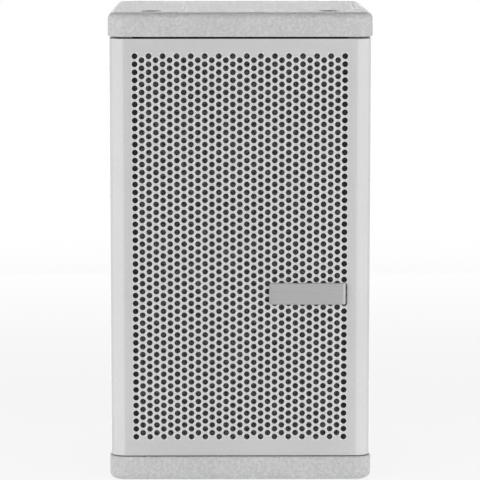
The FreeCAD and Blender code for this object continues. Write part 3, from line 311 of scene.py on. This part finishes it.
def ringed(dark, light, step, relief, rough):
    """Recipe for a piece wound or turned round the Y axis: fine rings of tone along Y."""
    def recipe(spot):
        wave = (spot.axes()[1] * (2 * math.pi / step)).math("SINE") * 0.5 + 0.5
        haze = spot.noise(2 * MILLIMETRE)
        return {
            "Base Color": (wave * 0.6 + haze * 0.4).blend(dark, light),
            "Roughness": rough + haze * 0.12,
            "Normal": spot.bump(wave, relief),
        }
    return recipe


def sprayed_paint(spot):
    """Sprayed structure paint: soft nubs with fine grit, almost one tone, glossy on scattered fine grains."""
    nubs = spot.noise(2.1 * MILLIMETRE, 3.0, 0.55).ease(0.32, 0.68)
    grit = spot.noise(1.1 * MILLIMETRE, 2.0)
    drift = spot.noise(30 * MILLIMETRE, 3.0)
    glints = spot.noise(1.0, 2.0, 0.55, spot.stretched(GLINT_GRAIN)).ease(0.48, 0.58)
    tone = nubs * 0.25 + grit * 0.45 + drift * 0.3
    return {
        "Base Color": tone.ease(0.2, 0.8).blend(tint(175, 175, 176), tint(199, 199, 199)),
        "Roughness": 0.64 - nubs * 0.08,
        "Coat Weight": glints * 0.66,
        "Normal": spot.bump(nubs + grit * 0.6, 0.28 * MILLIMETRE, 0.9),
    }


def grille_coat(spot):
    """Satin powder coat on sheet metal: fine orange peel, a faint drift of tone, and a painted highlight
    round the holes.
    """
    peel = spot.noise(1.1 * MILLIMETRE, 2.0)
    drift = spot.noise(60 * MILLIMETRE, 2.0)
    # Painted highlight: paler paint on the rolled edge round each hole
    rim_highlight = spot.place.node("ShaderNodeAttribute", {"attribute_name": "rim_highlight"}, out="Fac")
    coat = (peel * 0.4 + drift * 0.6).ease(0.25, 0.75).blend(tint(190, 190, 191), tint(198, 198, 198))
    return {
        "Base Color": rim_highlight.blend(coat, tint(211, 211, 211)),
        "Roughness": 0.17 + peel * 0.06,
        "Normal": spot.bump(peel, 0.02 * MILLIMETRE, 0.5),
    }


def open_foam(spot):
    """Open-cell foam: dark pores between paler cell walls, about four to a hole, and painted shade along both
    edges.
    """
    walls = spot.cells(1.0 * MILLIMETRE).ease(0.15, 0.75)
    fluff = spot.noise(0.5 * MILLIMETRE, 3.0)
    # Painted shade: the foam darkens towards both of its edges
    edge_shade = abs(spot.axes()[0]).ease(FOAM_PALE_HALF, FOAM_SHADED_HALF)
    tone_and_shade = (walls * 0.75 + fluff * 0.35).ease(0.2, 0.95) * (1.0 - edge_shade * 0.7)
    return {
        "Base Color": tone_and_shade.blend(tint(11, 11, 11), tint(78, 78, 78)),
        "Roughness": 0.9 + walls * 0.08,
        "Normal": spot.bump(walls + fluff * 0.5, 0.8 * MILLIMETRE),
    }


def brushed_badge(spot):
    """Brushed metal plate: hair lines along X, with painted shade as a darker left facet and a black line at
    its right-hand end.
    """
    low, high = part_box("badge")
    across = spot.axes()[0]
    hair = spot.noise(1.0, 4.0, 0.6, spot.stretched(HAIR_GRAIN))
    # Painted shade: a black, non-metallic line along the right-hand end
    line = across.ease(high.x - BADGE_SHADE_LINE - BADGE_SHADE_LINE_SOFT, high.x - BADGE_SHADE_LINE + BADGE_SHADE_LINE_SOFT)
    # Painted shade: a darker facet along the left-hand end
    shaded_facet = across.ease(low.x + BADGE_SHADED_FACET + BADGE_SHADED_FACET_SOFT, low.x + BADGE_SHADED_FACET - BADGE_SHADED_FACET_SOFT)
    metal = hair.ease(0.2, 0.8).blend(tint(163, 163, 164), tint(179, 179, 180))
    return {
        "Base Color": line.blend(shaded_facet.blend(metal, tint(150, 150, 151)), tint(20, 20, 20)),
        "Roughness": 0.34 + hair * 0.14,
        "Metallic": 0.35 - line * 0.35,
        "Normal": spot.bump(hair, 0.02 * MILLIMETRE, 0.5),
    }


def powder_black(spot):
    """Black powder coat: fine wrinkle and slight wear of the gloss."""
    wrinkle = spot.noise(0.9 * MILLIMETRE, 3.0, 0.6)
    return {
        "Base Color": wrinkle.blend(tint(26, 26, 27), tint(44, 44, 45)),
        "Roughness": 0.5 + wrinkle * 0.2,
        "Normal": spot.bump(wrinkle, 0.12 * MILLIMETRE, 0.6),
    }


def moulded_black(spot):
    """Black moulded plastic: fine spark-eroded grain."""
    grain = spot.noise(0.45 * MILLIMETRE, 2.0)
    drift = spot.noise(14 * MILLIMETRE)
    return {
        "Base Color": (grain * 0.5 + drift * 0.5).blend(tint(24, 24, 25), tint(40, 40, 41)),
        "Roughness": 0.42 + grain * 0.16,
        "Normal": spot.bump(grain, 0.04 * MILLIMETRE, 0.6),
    }


def knob_scale(spot, centre):
    """Ring of printed lines round a knob: a band of radii crossed with evenly spaced angles.

    The angle counts from straight up, and a line shows where it is near a multiple of the step.
    """
    x, _, z = spot.axes()
    across = x - centre[0]
    up = z - centre[1]
    radius = (across * across + up * up).math("SQRT")
    angle = across.math("ARCTAN2", up)
    step = 2 * SCALE_HALF_SWEEP / (SCALE_MARKS - 1)
    off_line = abs(angle - (angle + step / 2).math("SNAP", step)) * radius
    from_inner = radius.ease(SCALE_INNER, SCALE_INNER + SCALE_END_SOFT)
    to_outer = radius.ease(SCALE_OUTER, SCALE_OUTER - SCALE_END_SOFT)
    inside = abs(angle).ease(SCALE_HALF_SWEEP + step * 0.5, SCALE_HALF_SWEEP + step * 0.4)
    line = off_line.ease(SCALE_LINE_HALF + PRINT_SOFT, SCALE_LINE_HALF - PRINT_SOFT)
    return from_inner * to_outer * inside * line


def printed_panel(spot):
    """Amplifier panel: black powder coat with a printed scale round each of its three knobs."""
    coat = powder_black(spot)
    print_mask = None
    for name in KNOBS:
        low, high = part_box(name)
        ring = knob_scale(spot, ((low.x + high.x) / 2, (low.z + high.z) / 2))
        print_mask = ring if print_mask is None else print_mask.math("MAXIMUM", ring)
    coat["Base Color"] = print_mask.blend(coat["Base Color"], tint(214, 214, 210))
    return coat


def pointer_knob(spot):
    """Black knob with white paint in its pointer slot, which runs up from near the middle of its face."""
    skin = moulded_black(spot)
    x, y, z = spot.axes()
    pointers = None
    for name in KNOBS:
        low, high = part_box(name)
        reach = (high.z - low.z) / 2
        stripe = within(x, (low.x + high.x) / 2, POINTER_HALF)
        run = within(z, (low.z + high.z) / 2 + reach * POINTER_RISE, reach * POINTER_REACH)
        face = y.ease(high.y - POINTER_DEPTHS[0], high.y - POINTER_DEPTHS[1])
        pointer = stripe * run * face
        pointers = pointer if pointers is None else pointers.math("MAXIMUM", pointer)
    skin["Base Color"] = pointers.blend(skin["Base Color"], tint(224, 224, 220))
    return skin


def marked_rocker(spot):
    """Black rocker with a line on its upper half and a ring on its lower half, both white."""
    skin = moulded_black(spot)
    low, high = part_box("power_rocker")
    x, y, z = spot.axes()
    across = (low.x + high.x) / 2
    level = (low.z + high.z) / 2
    off_x = x - across
    off_z = z - (level - SIGN_RISE)
    radius = (off_x * off_x + off_z * off_z).math("SQRT")
    ring = within(radius, SIGN_RING, SIGN_RING_HALF)
    line = within(x, across, SIGN_LINE_HALF) * within(z, level + SIGN_RISE, SIGN_LINE_REACH)
    face = y.ease(high.y - SIGN_DEPTHS[0], high.y - SIGN_DEPTHS[1])
    skin["Base Color"] = (ring.math("MAXIMUM", line) * face).blend(skin["Base Color"], tint(220, 220, 216))
    return skin


def build_materials():
    """All finishes with the nodes that wear them."""
    board = speckled(tint(22, 22, 22), tint(38, 38, 38), 1.4 * MILLIMETRE, 0.15 * MILLIMETRE, 0.7)
    black_steel = speckled(tint(20, 20, 21), tint(36, 36, 38), 2 * MILLIMETRE, 0.03 * MILLIMETRE, 0.36)
    blackened = speckled(tint(14, 14, 14), tint(26, 26, 26), 1.5 * MILLIMETRE, 0.05 * MILLIMETRE, 0.75)
    rubber = speckled(tint(18, 18, 18), tint(30, 30, 30), 0.8 * MILLIMETRE, 0.03 * MILLIMETRE, 0.62)
    pulp = speckled(tint(22, 21, 20), tint(48, 47, 45), 1.2 * MILLIMETRE, 0.12 * MILLIMETRE, 0.8, detail=4)
    cloth = ringed(tint(150, 112, 52), tint(186, 148, 84), 0.6 * MILLIMETRE, 0.1 * MILLIMETRE, 0.8)
    card = speckled(tint(150, 122, 84), tint(178, 150, 110), 1 * MILLIMETRE, 0.05 * MILLIMETRE, 0.7)
    winding = ringed(tint(150, 74, 36), tint(204, 120, 70), 0.3 * MILLIMETRE, 0.1 * MILLIMETRE, 0.25)
    plated = speckled(tint(150, 150, 152), tint(186, 186, 188), 3 * MILLIMETRE, 0.02 * MILLIMETRE, 0.28)
    ferrite = speckled(tint(34, 34, 36), tint(56, 56, 58), 1.5 * MILLIMETRE, 0.1 * MILLIMETRE, 0.55)
    dome = speckled(tint(20, 20, 22), tint(40, 40, 44), 0.4 * MILLIMETRE, 0.05 * MILLIMETRE, 0.6)
    circuit = speckled(tint(16, 62, 34), tint(28, 92, 52), 6 * MILLIMETRE, 0.02 * MILLIMETRE, 0.4)
    sleeve = speckled(tint(18, 20, 30), tint(32, 36, 52), 3 * MILLIMETRE, 0.02 * MILLIMETRE, 0.35)
    sink = ringed(tint(156, 157, 160), tint(184, 185, 188), 0.5 * MILLIMETRE, 0.02 * MILLIMETRE, 0.4)
    tape = ringed(tint(150, 120, 40), tint(196, 164, 70), 9 * MILLIMETRE, 0.2 * MILLIMETRE, 0.35)
    white = speckled(tint(214, 213, 208), tint(232, 231, 227), 1 * MILLIMETRE, 0.02 * MILLIMETRE, 0.4)
    red = speckled(tint(150, 22, 20), tint(186, 34, 30), 1 * MILLIMETRE, 0.02 * MILLIMETRE, 0.4)
    brass = speckled(tint(170, 140, 70), tint(206, 178, 104), 1 * MILLIMETRE, 0.02 * MILLIMETRE, 0.3)
    return [
        (finish("sprayed_paint", sprayed_paint, Coat_Roughness=0.15),
         ["top_panel", "bottom_panel", "left_side_panel", "right_side_panel"]),
        (finish("black_board", board), ["front_baffle", "rear_panel"]),
        (finish("open_foam", open_foam), ["grille_foam"]),
        (finish("grille_coat", grille_coat, IOR=1.8), ["grille"]),
        (finish("brushed_badge", brushed_badge), ["badge"]),
        (finish("black_steel", black_steel, Metallic=0.6),
         ["woofer_frame", "woofer_screws", "tweeter_screws", "amp_panel_screws", "grille_screws"]),
        (finish("blackened_insert", blackened, Specular_IOR_Level=0.0),
         ["rigging_inserts", "bracket_inserts"]),
        (finish("rubber", rubber), ["woofer_surround", "woofer_gasket", "amp_gasket"]),
        (finish("cone_pulp", pulp), ["woofer_cone", "woofer_dust_cap"]),
        (finish("spider_cloth", cloth), ["woofer_spider"]),
        (finish("former_card", card), ["woofer_coil_former"]),
        (finish("coil_wire", winding, Metallic=1.0), ["woofer_voice_coil", "tweeter_voice_coil"]),
        (finish("plated_steel", plated, Metallic=0.9),
         ["woofer_top_plate", "woofer_yoke", "tweeter_top_plate", "tweeter_yoke", "transformer_clamp",
          "transformer_bolt", "transformer_nut"]),
        (finish("ferrite", ferrite), ["woofer_magnet", "tweeter_magnet"]),
        (finish("dome_cloth", dome), ["tweeter_dome"]),
        (finish("moulded_black", moulded_black),
         ["tweeter_faceplate", "left_port_tube", "right_port_tube", "phono_housing", "switch_housing",
          "mains_inlet"]),
        (finish("marked_rocker", marked_rocker), ["power_rocker"]),
        (finish("pointer_knob", pointer_knob), KNOBS),
        (finish("printed_panel", printed_panel), ["amp_panel"]),
        (finish("circuit_board", circuit), ["amp_board"]),
        (finish("capacitor_sleeve", sleeve), ["filter_capacitors"]),
        (finish("sink_metal", sink, Metallic=0.9), ["heatsink"]),
        (finish("transformer_tape", tape), ["power_transformer"]),
        (finish("pot_metal", plated, Metallic=0.8),
         ["potentiometers", "volume_shaft", "treble_shaft", "bass_shaft"]),
        (finish("bright_plating", plated, Metallic=1.0), ["phono_shells"]),
        (finish("white_plastic", white), ["phono_inserts_white"]),
        (finish("red_plastic", red), ["phono_inserts_red"]),
        (finish("pin_brass", brass, Metallic=1.0), ["inlet_pins"]),
    ]


def dress(finishes):
    """Gives every CAD node its finish."""
    for material, nodes in finishes:
        for node in nodes:
            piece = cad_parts[node]
            piece.data.materials.clear()
            piece.data.materials.append(material)


def quads(a, b, c, d):
    """Four index arrays of one shape as a list of four-sided faces."""
    return np.stack([a, b, c, d], -1).reshape(-1, 4).tolist()


def mesh_piece(name, points, faces, material, smooth):
    """Mesh object at the origin in one material, with flat faces or smooth ones that break at sharp edges."""
    mesh = bpy.data.meshes.new(name)
    mesh.from_pydata(points.tolist(), [], faces)
    if smooth:
        mesh.polygons.foreach_set("use_smooth", np.ones(len(mesh.polygons), bool))
        mesh.set_sharp_from_angle(angle=SHARP_ANGLE)
    mesh.materials.append(bpy.data.materials[material])
    piece = bpy.data.objects.new(name, mesh)
    bpy.context.scene.collection.objects.link(piece)
    return piece


def hole_field():
    """Field of the grille's holes on a lattice of quarter steps, each lattice point kept once.

    A hole owns a cell one column step wide and one pitch high. Every second column is half a pitch off and
    one hole shorter, and a half cell without a hole fills each of its ends. Gives the lattice and the holes'
    centres as X and Z from the field's middle, the lattice points round each cell and each half cell, and
    those along the field's bottom, right, top and left.
    """
    columns = np.arange(HOLE_COLUMNS) * 4 - (HOLE_COLUMNS - 1) * 2
    long_rows = np.arange(HOLE_ROWS) * 4 - (HOLE_ROWS - 1) * 2
    short_rows = (long_rows[:-1] + long_rows[1:]) // 2
    centres = np.concatenate([
        np.stack(np.meshgrid(columns[0::2], long_rows, indexing="ij"), -1).reshape(-1, 2),
        np.stack(np.meshgrid(columns[1::2], short_rows, indexing="ij"), -1).reshape(-1, 2),
    ])
    reach_x = HOLE_COLUMNS * 2
    reach_z = HOLE_ROWS * 2
    height = 2 * reach_z + 1
    quarter_steps = (COLUMN_STEP / 4, ROW_STEP / 4)

    def key(points):
        """One whole number for each lattice point."""
        return (points[..., 0] + reach_x) * height + points[..., 1] + reach_z

    feet = np.stack([columns[1::2], np.full(HOLE_COLUMNS // 2, -reach_z)], -1)
    tops = np.stack([columns[1::2], np.full(HOLE_COLUMNS // 2, reach_z - 2)], -1)
    halves = key(np.concatenate([feet, tops])[:, None, :] + HALF_CELL_EDGE)
    cells = key(centres[:, None, :] + CELL_EDGE)
    used, found = np.unique(np.concatenate([cells.ravel(), halves.ravel()]), return_inverse=True)
    cell_points = found[:cells.size].reshape(cells.shape)
    half_points = found[cells.size:].reshape(halves.shape)
    lattice = np.stack([used // height - reach_x, used % height - reach_z], -1) * quarter_steps

    def along(xs, zs):
        """Lattice points on one side of the field."""
        return np.searchsorted(used, key(np.stack(np.broadcast_arrays(xs, zs), -1)))

    run_x = np.arange(-reach_x, reach_x + 1)
    run_z = np.arange(-reach_z, reach_z + 1)
    border = (along(run_x, -reach_z), along(reach_x, run_z), along(run_x, reach_z), along(-reach_x, run_z))
    return lattice, centres * quarter_steps, cell_points, half_points, border


def fold_lines(low, high):
    """Lines across both bends and returns of the grille, from its flat front outwards.

    A bend is X + R sin t and Y + R - R cos t for a quarter turn of t. There are eight lines: right and left,
    each with its outer and its inner face, each of those at the foot and at the top.
    """
    flat_half = high.x - GRILLE_BEND
    inner_bend = GRILLE_BEND - GRILLE_SHEET
    angle = np.linspace(0, np.pi / 2, BEND_STEPS + 1)
    outer_x = np.append(flat_half + GRILLE_BEND * np.sin(angle), high.x)
    outer_y = np.append(low.y + GRILLE_BEND * (1 - np.cos(angle)), high.y)
    inner_x = np.append(flat_half + inner_bend * np.sin(angle), high.x - GRILLE_SHEET)
    inner_y = np.append(low.y + GRILLE_SHEET + inner_bend * (1 - np.cos(angle)), high.y)
    return [
        np.stack([side * x, y, np.full(len(x), z)], -1)
        for side in (1, -1)
        for x, y in ((outer_x, outer_y), (inner_x, inner_y))
        for z in (low.z, high.z)
    ]


def perforated_grille():
    """The folded, perforated sheet as one closed surface.

    Sixteen points on the edge of each hole's cell are joined to sixteen points of a circle, M + R cos t and
    N + R sin t. A smaller circle rolls over the edge, a third goes through the sheet, and the back of the
    cell is joined to that one. Four margins join the field to the bends and returns.
    """
    low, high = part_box("grille")
    front = low.y
    back = front + GRILLE_SHEET
    level = (low.z + high.z) / 2 + FIELD_LIFT
    lattice, centres, cell_points, half_points, border = hole_field()
    holes, sides = cell_points.shape
    turn = 2 * np.pi * np.arange(sides) / sides
    ring = np.stack([np.cos(turn), np.sin(turn)], -1)
    wide = (centres[:, None, :] + ring * (HOLE_RADIUS + HOLE_ROLL)).reshape(-1, 2)
    bore = (centres[:, None, :] + ring * HOLE_RADIUS).reshape(-1, 2)

    def sheet_points(flat, depth):
        """Flat X and Z pairs, counted from the middle of the field, as points at one depth."""
        return np.stack([flat[:, 0] + FIELD_ASIDE, np.full(len(flat), depth), flat[:, 1] + level], -1)

    lines = fold_lines(low, high)
    points = np.concatenate([
        sheet_points(lattice, front),
        sheet_points(wide, front),
        sheet_points(bore, front + HOLE_DIP),
        sheet_points(bore, back),
        sheet_points(lattice, back),
    ] + lines)
    wide_at = len(lattice)
    lip_at = wide_at + holes * sides
    bore_at = lip_at + holes * sides
    back_at = bore_at + holes * sides
    fold_at = back_at + len(lattice)
    fold = len(lines[0])
    right_out, right_in, left_out, left_in = (
        (fold_at + 2 * i * fold, fold_at + (2 * i + 1) * fold) for i in range(4)
    )

    # Faces of the cells: counter-clockwise seen from the front
    one = np.arange(holes * sides).reshape(holes, sides)
    following = np.roll(one, -1, axis=1)
    next_points = np.roll(cell_points, -1, axis=1)
    faces = quads(cell_points, next_points, wide_at + following, wide_at + one)
    faces += quads(wide_at + one, wide_at + following, lip_at + following, lip_at + one)
    faces += quads(lip_at + one, lip_at + following, bore_at + following, bore_at + one)
    faces += quads(bore_at + one, bore_at + following, back_at + next_points, back_at + cell_points)
    faces += half_points.tolist()
    faces += (back_at + half_points[:, ::-1]).tolist()

    # Four margins round the field, front and back
    def margins(first, right_pair, left_pair):
        """Margin faces between the field and the fold lines, seen from the front."""
        bottom, right, top, left = (first + side for side in border)
        low_right, high_right = right_pair
        low_left, high_left = left_pair
        return [
            [low_left, low_right] + bottom[::-1].tolist(),
            [low_right, high_right] + right[::-1].tolist(),
            [high_right, high_left] + top.tolist(),
            [high_left, low_left] + left.tolist(),
        ]

    faces += margins(0, right_out, left_out)
    faces += [face[::-1] for face in margins(back_at, right_in, left_in)]

    # Bends, returns and the cut edges of the sheet
    run = np.arange(fold - 1)

    def folded(low_line, high_line, outward):
        """Faces between two fold lines of one side."""
        made = np.stack([low_line + run, low_line + run + 1, high_line + run + 1, high_line + run], -1)
        return (made if outward else made[:, ::-1]).tolist()

    faces += folded(*right_out, True) + folded(*left_out, False)
    faces += folded(*right_in, False) + folded(*left_in, True)
    for outside, inside, outward in ((right_out, right_in, True), (left_out, left_in, False)):
        faces += folded(inside[0], outside[0], outward)
        faces += folded(outside[1], inside[1], outward)
        end = [line + fold - 1 for line in (outside[0], inside[0], inside[1], outside[1])]
        faces.append(end if outward else end[::-1])
    faces.append([left_out[0], left_in[0], right_in[0], right_out[0]])
    faces.append([right_out[1], right_in[1], left_in[1], left_out[1]])

    piece = mesh_piece("perforated_grille", points, faces, "grille_coat", smooth=True)
    # Painted highlight round each hole: full on its rolled edge, part of it on its lip
    rim_highlight = np.zeros(len(points), np.float32)
    rim_highlight[wide_at:lip_at] = 1.0
    rim_highlight[lip_at:bore_at] = LIP_HIGHLIGHT_SHARE
    piece.data.attributes.new("rim_highlight", "FLOAT", "POINT").data.foreach_set("value", rim_highlight)
    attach(piece, "cabinet")
    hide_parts("grille")


def foam_sheet():
    """Foam behind every column of holes: a flat profile with half-round edges, carried up the grille.

    The half circles are X + h cos t and Y + h sin t, h being half the thickness; both ends are closed.
    """
    low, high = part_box("grille_foam")
    half = (high.y - low.y) / 2
    middle = (high.y + low.y) / 2
    reach = -low.x - half
    turn = np.linspace(-np.pi / 2, np.pi / 2, FOAM_EDGE_STEPS + 1)
    x = np.concatenate([reach + half * np.cos(turn), -reach - half * np.cos(turn)])
    y = np.concatenate([middle + half * np.sin(turn), middle - half * np.sin(turn)])
    count = len(x)
    points = np.concatenate([np.stack([x, y, np.full(count, z)], -1) for z in (low.z, high.z)])
    here = np.arange(count)
    ahead = np.roll(here, -1)
    faces = quads(here, ahead, ahead + count, here + count)
    faces += [here[::-1].tolist(), (here + count).tolist()]
    piece = mesh_piece("foam_sheet", points, faces, "open_foam", smooth=False)
    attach(piece, "cabinet")
    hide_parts("grille_foam")


def flexing_ring(name, node, radius, depth, moving, still, slot):
    """A ring that flexes between the woofer's frame and its cone, as one closed surface.

    A closed profile of radius and depth is carried round the driver's axis: X + r cos u and Z + r sin u.
    Its share of the cone's travel, a straight ramp from 1 at the moving radius to 0 at the still one, is not
    used.
    """
    low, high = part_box(node)
    middle = (low + high) / 2
    turn = 2 * np.pi * np.arange(RING_SIDES) / RING_SIDES
    x = middle.x + np.outer(np.cos(turn), radius)
    z = middle.z + np.outer(np.sin(turn), radius)
    points = np.stack([x, np.broadcast_to(depth, x.shape), z], -1).reshape(-1, 3)
    here = np.arange(len(points)).reshape(RING_SIDES, -1)
    beside = np.roll(here, -1, axis=0)
    faces = quads(beside, np.roll(beside, -1, axis=1), np.roll(here, -1, axis=1), here)
    piece = mesh_piece(name, points, faces, slot, smooth=True)
    start = (middle.x + still, middle.y, middle.z)
    end = (middle.x + moving, middle.y, middle.z)
    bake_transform(piece)
    share = np.clip((still - radius) / (still - moving), 0, 1)
    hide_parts(node)


def flexing_surround():
    """Rubber half roll: two arcs about one centre, r + R cos t and face - R sin t, between flat landings."""
    low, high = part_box("woofer_surround")
    outer = (high.x - low.x) / 2
    middle = (outer + SURROUND_INNER) / 2
    face = high.y - SURROUND_SHEET
    roll = face - low.y
    under = roll - SURROUND_SHEET
    moving = middle - under
    still = middle + under
    arc = np.linspace(0, np.pi, SURROUND_ARC_STEPS + 1)
    radius = np.concatenate([
        [SURROUND_INNER, moving], middle - under * np.cos(arc), [still, outer, outer],
        middle + roll * np.cos(arc), [SURROUND_INNER],
    ])
    depth = np.concatenate([
        [high.y, high.y], face - under * np.sin(arc), [high.y, high.y, face],
        face - roll * np.sin(arc), [face],
    ])
    flexing_ring("flexing_surround", "woofer_surround", radius, depth, moving, still, "rubber")


def flexing_spider():
    """Corrugated cloth disc: depth + wave cos(pi s) over the folds s, led in and out by quarter waves."""
    low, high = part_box("woofer_spider")
    outer = (high.x - low.x) / 2
    wave = (high.y - low.y - SPIDER_SHEET) / 2
    fold = np.linspace(0, SPIDER_FOLDS, SPIDER_FOLDS * SPIDER_FOLD_STEPS + 1)
    from_end = np.minimum(fold, SPIDER_FOLDS - fold)
    swing = np.where(from_end < 1, -np.sin(from_end * np.pi / 2), np.cos(fold * np.pi))
    line = np.append(SPIDER_INNER + (SPIDER_LEDGE - SPIDER_INNER) * fold / SPIDER_FOLDS, outer)
    back = np.append(high.y - wave - wave * swing, high.y - wave)
    radius = np.concatenate([line, line[::-1]])
    depth = np.concatenate([back, back[::-1] - SPIDER_SHEET])
    moving, still = SPIDER_MOVING, SPIDER_LEDGE
    flexing_ring("flexing_spider", "woofer_spider", radius, depth, moving, still, "spider_cloth")


def floor_material():
    """White floor: near the object it takes some shadow and gives fill light, further out it is plain."""
    material = bpy.data.materials.new("pale_floor")
    spot = Spot(fresh_tree(material))
    node = spot.place.node
    far = node("ShaderNodeVectorMath", {"operation": "LENGTH"}, {0: spot.place}, out=1)
    camera_ray = node("ShaderNodeLightPath", out="Is Camera Ray")
    diffuse_ray = node("ShaderNodeLightPath", out="Is Diffuse Ray")
    plain = far.ease(FLOOR_PLAIN_FROM, FLOOR_PLAIN_PAST)
    seen = (FLOOR_NEAR_WHITE + (1 - FLOOR_NEAR_WHITE) * plain) * camera_ray
    fill = FLOOR_FILL * far.ease(FLOOR_FILL_ENDS, FLOOR_FILL_WITHIN) * diffuse_ray
    white = node("ShaderNodeEmission", None, {"Color": (1, 1, 1, 1), "Strength": 1.0})
    matt = node("ShaderNodeBsdfDiffuse", None, {"Color": tint(244, 244, 244)})
    shown = node("ShaderNodeMixShader", None, {0: seen + fill, 1: matt, 2: white})
    node("ShaderNodeOutputMaterial", None, {"Surface": shown})
    return material


def pale_floor():
    """Wide flat floor: the four corners of a square at the height of the object's underside."""
    corners = np.array([(-1, -1, 0), (1, -1, 0), (1, 1, 0), (-1, 1, 0)]) * FLOOR_HALF
    floor = mesh_piece("floor", corners, [[0, 1, 2, 3]], floor_material().name, smooth=False)
    floor.visible_glossy = False


def soft_world():
    """Surroundings: white to the camera; as light, white low down behind the object and dim elsewhere."""
    world = bpy.data.worlds.new("studio")
    bpy.context.scene.world = world
    node = Wire(fresh_tree(world)).node
    camera_ray = node("ShaderNodeLightPath", out="Is Camera Ray")
    glass_ray = node("ShaderNodeLightPath", out="Is Transmission Ray")
    way = node("ShaderNodeTexCoord", out="Generated")
    back = node("ShaderNodeSeparateXYZ", None, {0: way}, out=1).ease(WORLD_BACK_FROM, WORLD_BACK_PAST)
    low = node("ShaderNodeSeparateXYZ", None, {0: way}, out=2).ease(WORLD_LOW_ENDS, WORLD_LOW_BELOW)
    white = camera_ray.math("MAXIMUM", glass_ray).math("MAXIMUM", back * low)
    strength = WORLD_DIM + white * (1 - WORLD_DIM)
    glow = node("ShaderNodeBackground", None, {"Color": (1, 1, 1, 1), "Strength": strength})
    node("ShaderNodeOutputWorld", None, {"Surface": glow})


def softbox(name, place, width, power):
    """Tall rectangular lamp that faces the middle of the object at the lamps' own level."""
    lamp = bpy.data.lights.new(name, "AREA")
    lamp.shape = "RECTANGLE"
    lamp.size = width
    lamp.size_y = BOX_HEIGHT
    lamp.energy = power
    holder = bpy.data.objects.new(name, lamp)
    bpy.context.scene.collection.objects.link(holder)
    holder.location = place
    way = Vector((0.0, 0.0, BOX_LEVEL)) - Vector(place)
    holder.rotation_euler = way.to_track_quat("-Z", "Y").to_euler()
    holder.visible_camera = False


def studio_light():
    """Soft light: two tall boxes on each hand, from near the camera to beside the object, and one behind."""
    soft_world()
    for hand, side in (("left", -1), ("right", 1)):
        for name, angle, width, power in HAND_BOXES:
            turn = math.radians(angle)
            place = (side * BOX_DISTANCE * math.sin(turn), -BOX_DISTANCE * math.cos(turn), BOX_LEVEL)
            softbox(hand + "_" + name + "_box", place, width, power)
    softbox("back_box", (0.0, BOX_DISTANCE, BOX_LEVEL), BACK_BOX_WIDTH, BACK_BOX_POWER)


def photo_camera():
    """Camera where the photograph was taken from: in front, a little above, looking slightly down."""
    lens = bpy.data.cameras.new("photo_camera")
    lens.sensor_width = SENSOR
    lens.lens = FOCAL_PIXELS / FRAME_PIXELS * SENSOR
    lens.clip_end = CAMERA_SIGHT
    camera = bpy.data.objects.new("photo_camera", lens)
    camera.location = CAMERA_PLACE
    camera.rotation_euler = (math.pi / 2 - CAMERA_DOWN, 0.0, -CAMERA_ASIDE)
    bpy.context.scene.collection.objects.link(camera)
    bpy.context.scene.camera = camera


dress(build_materials())
perforated_grille()
foam_sheet()
flexing_surround()
flexing_spider()
pale_floor()
studio_light()
photo_camera()
bpy.context.scene.view_settings.view_transform = "Standard"
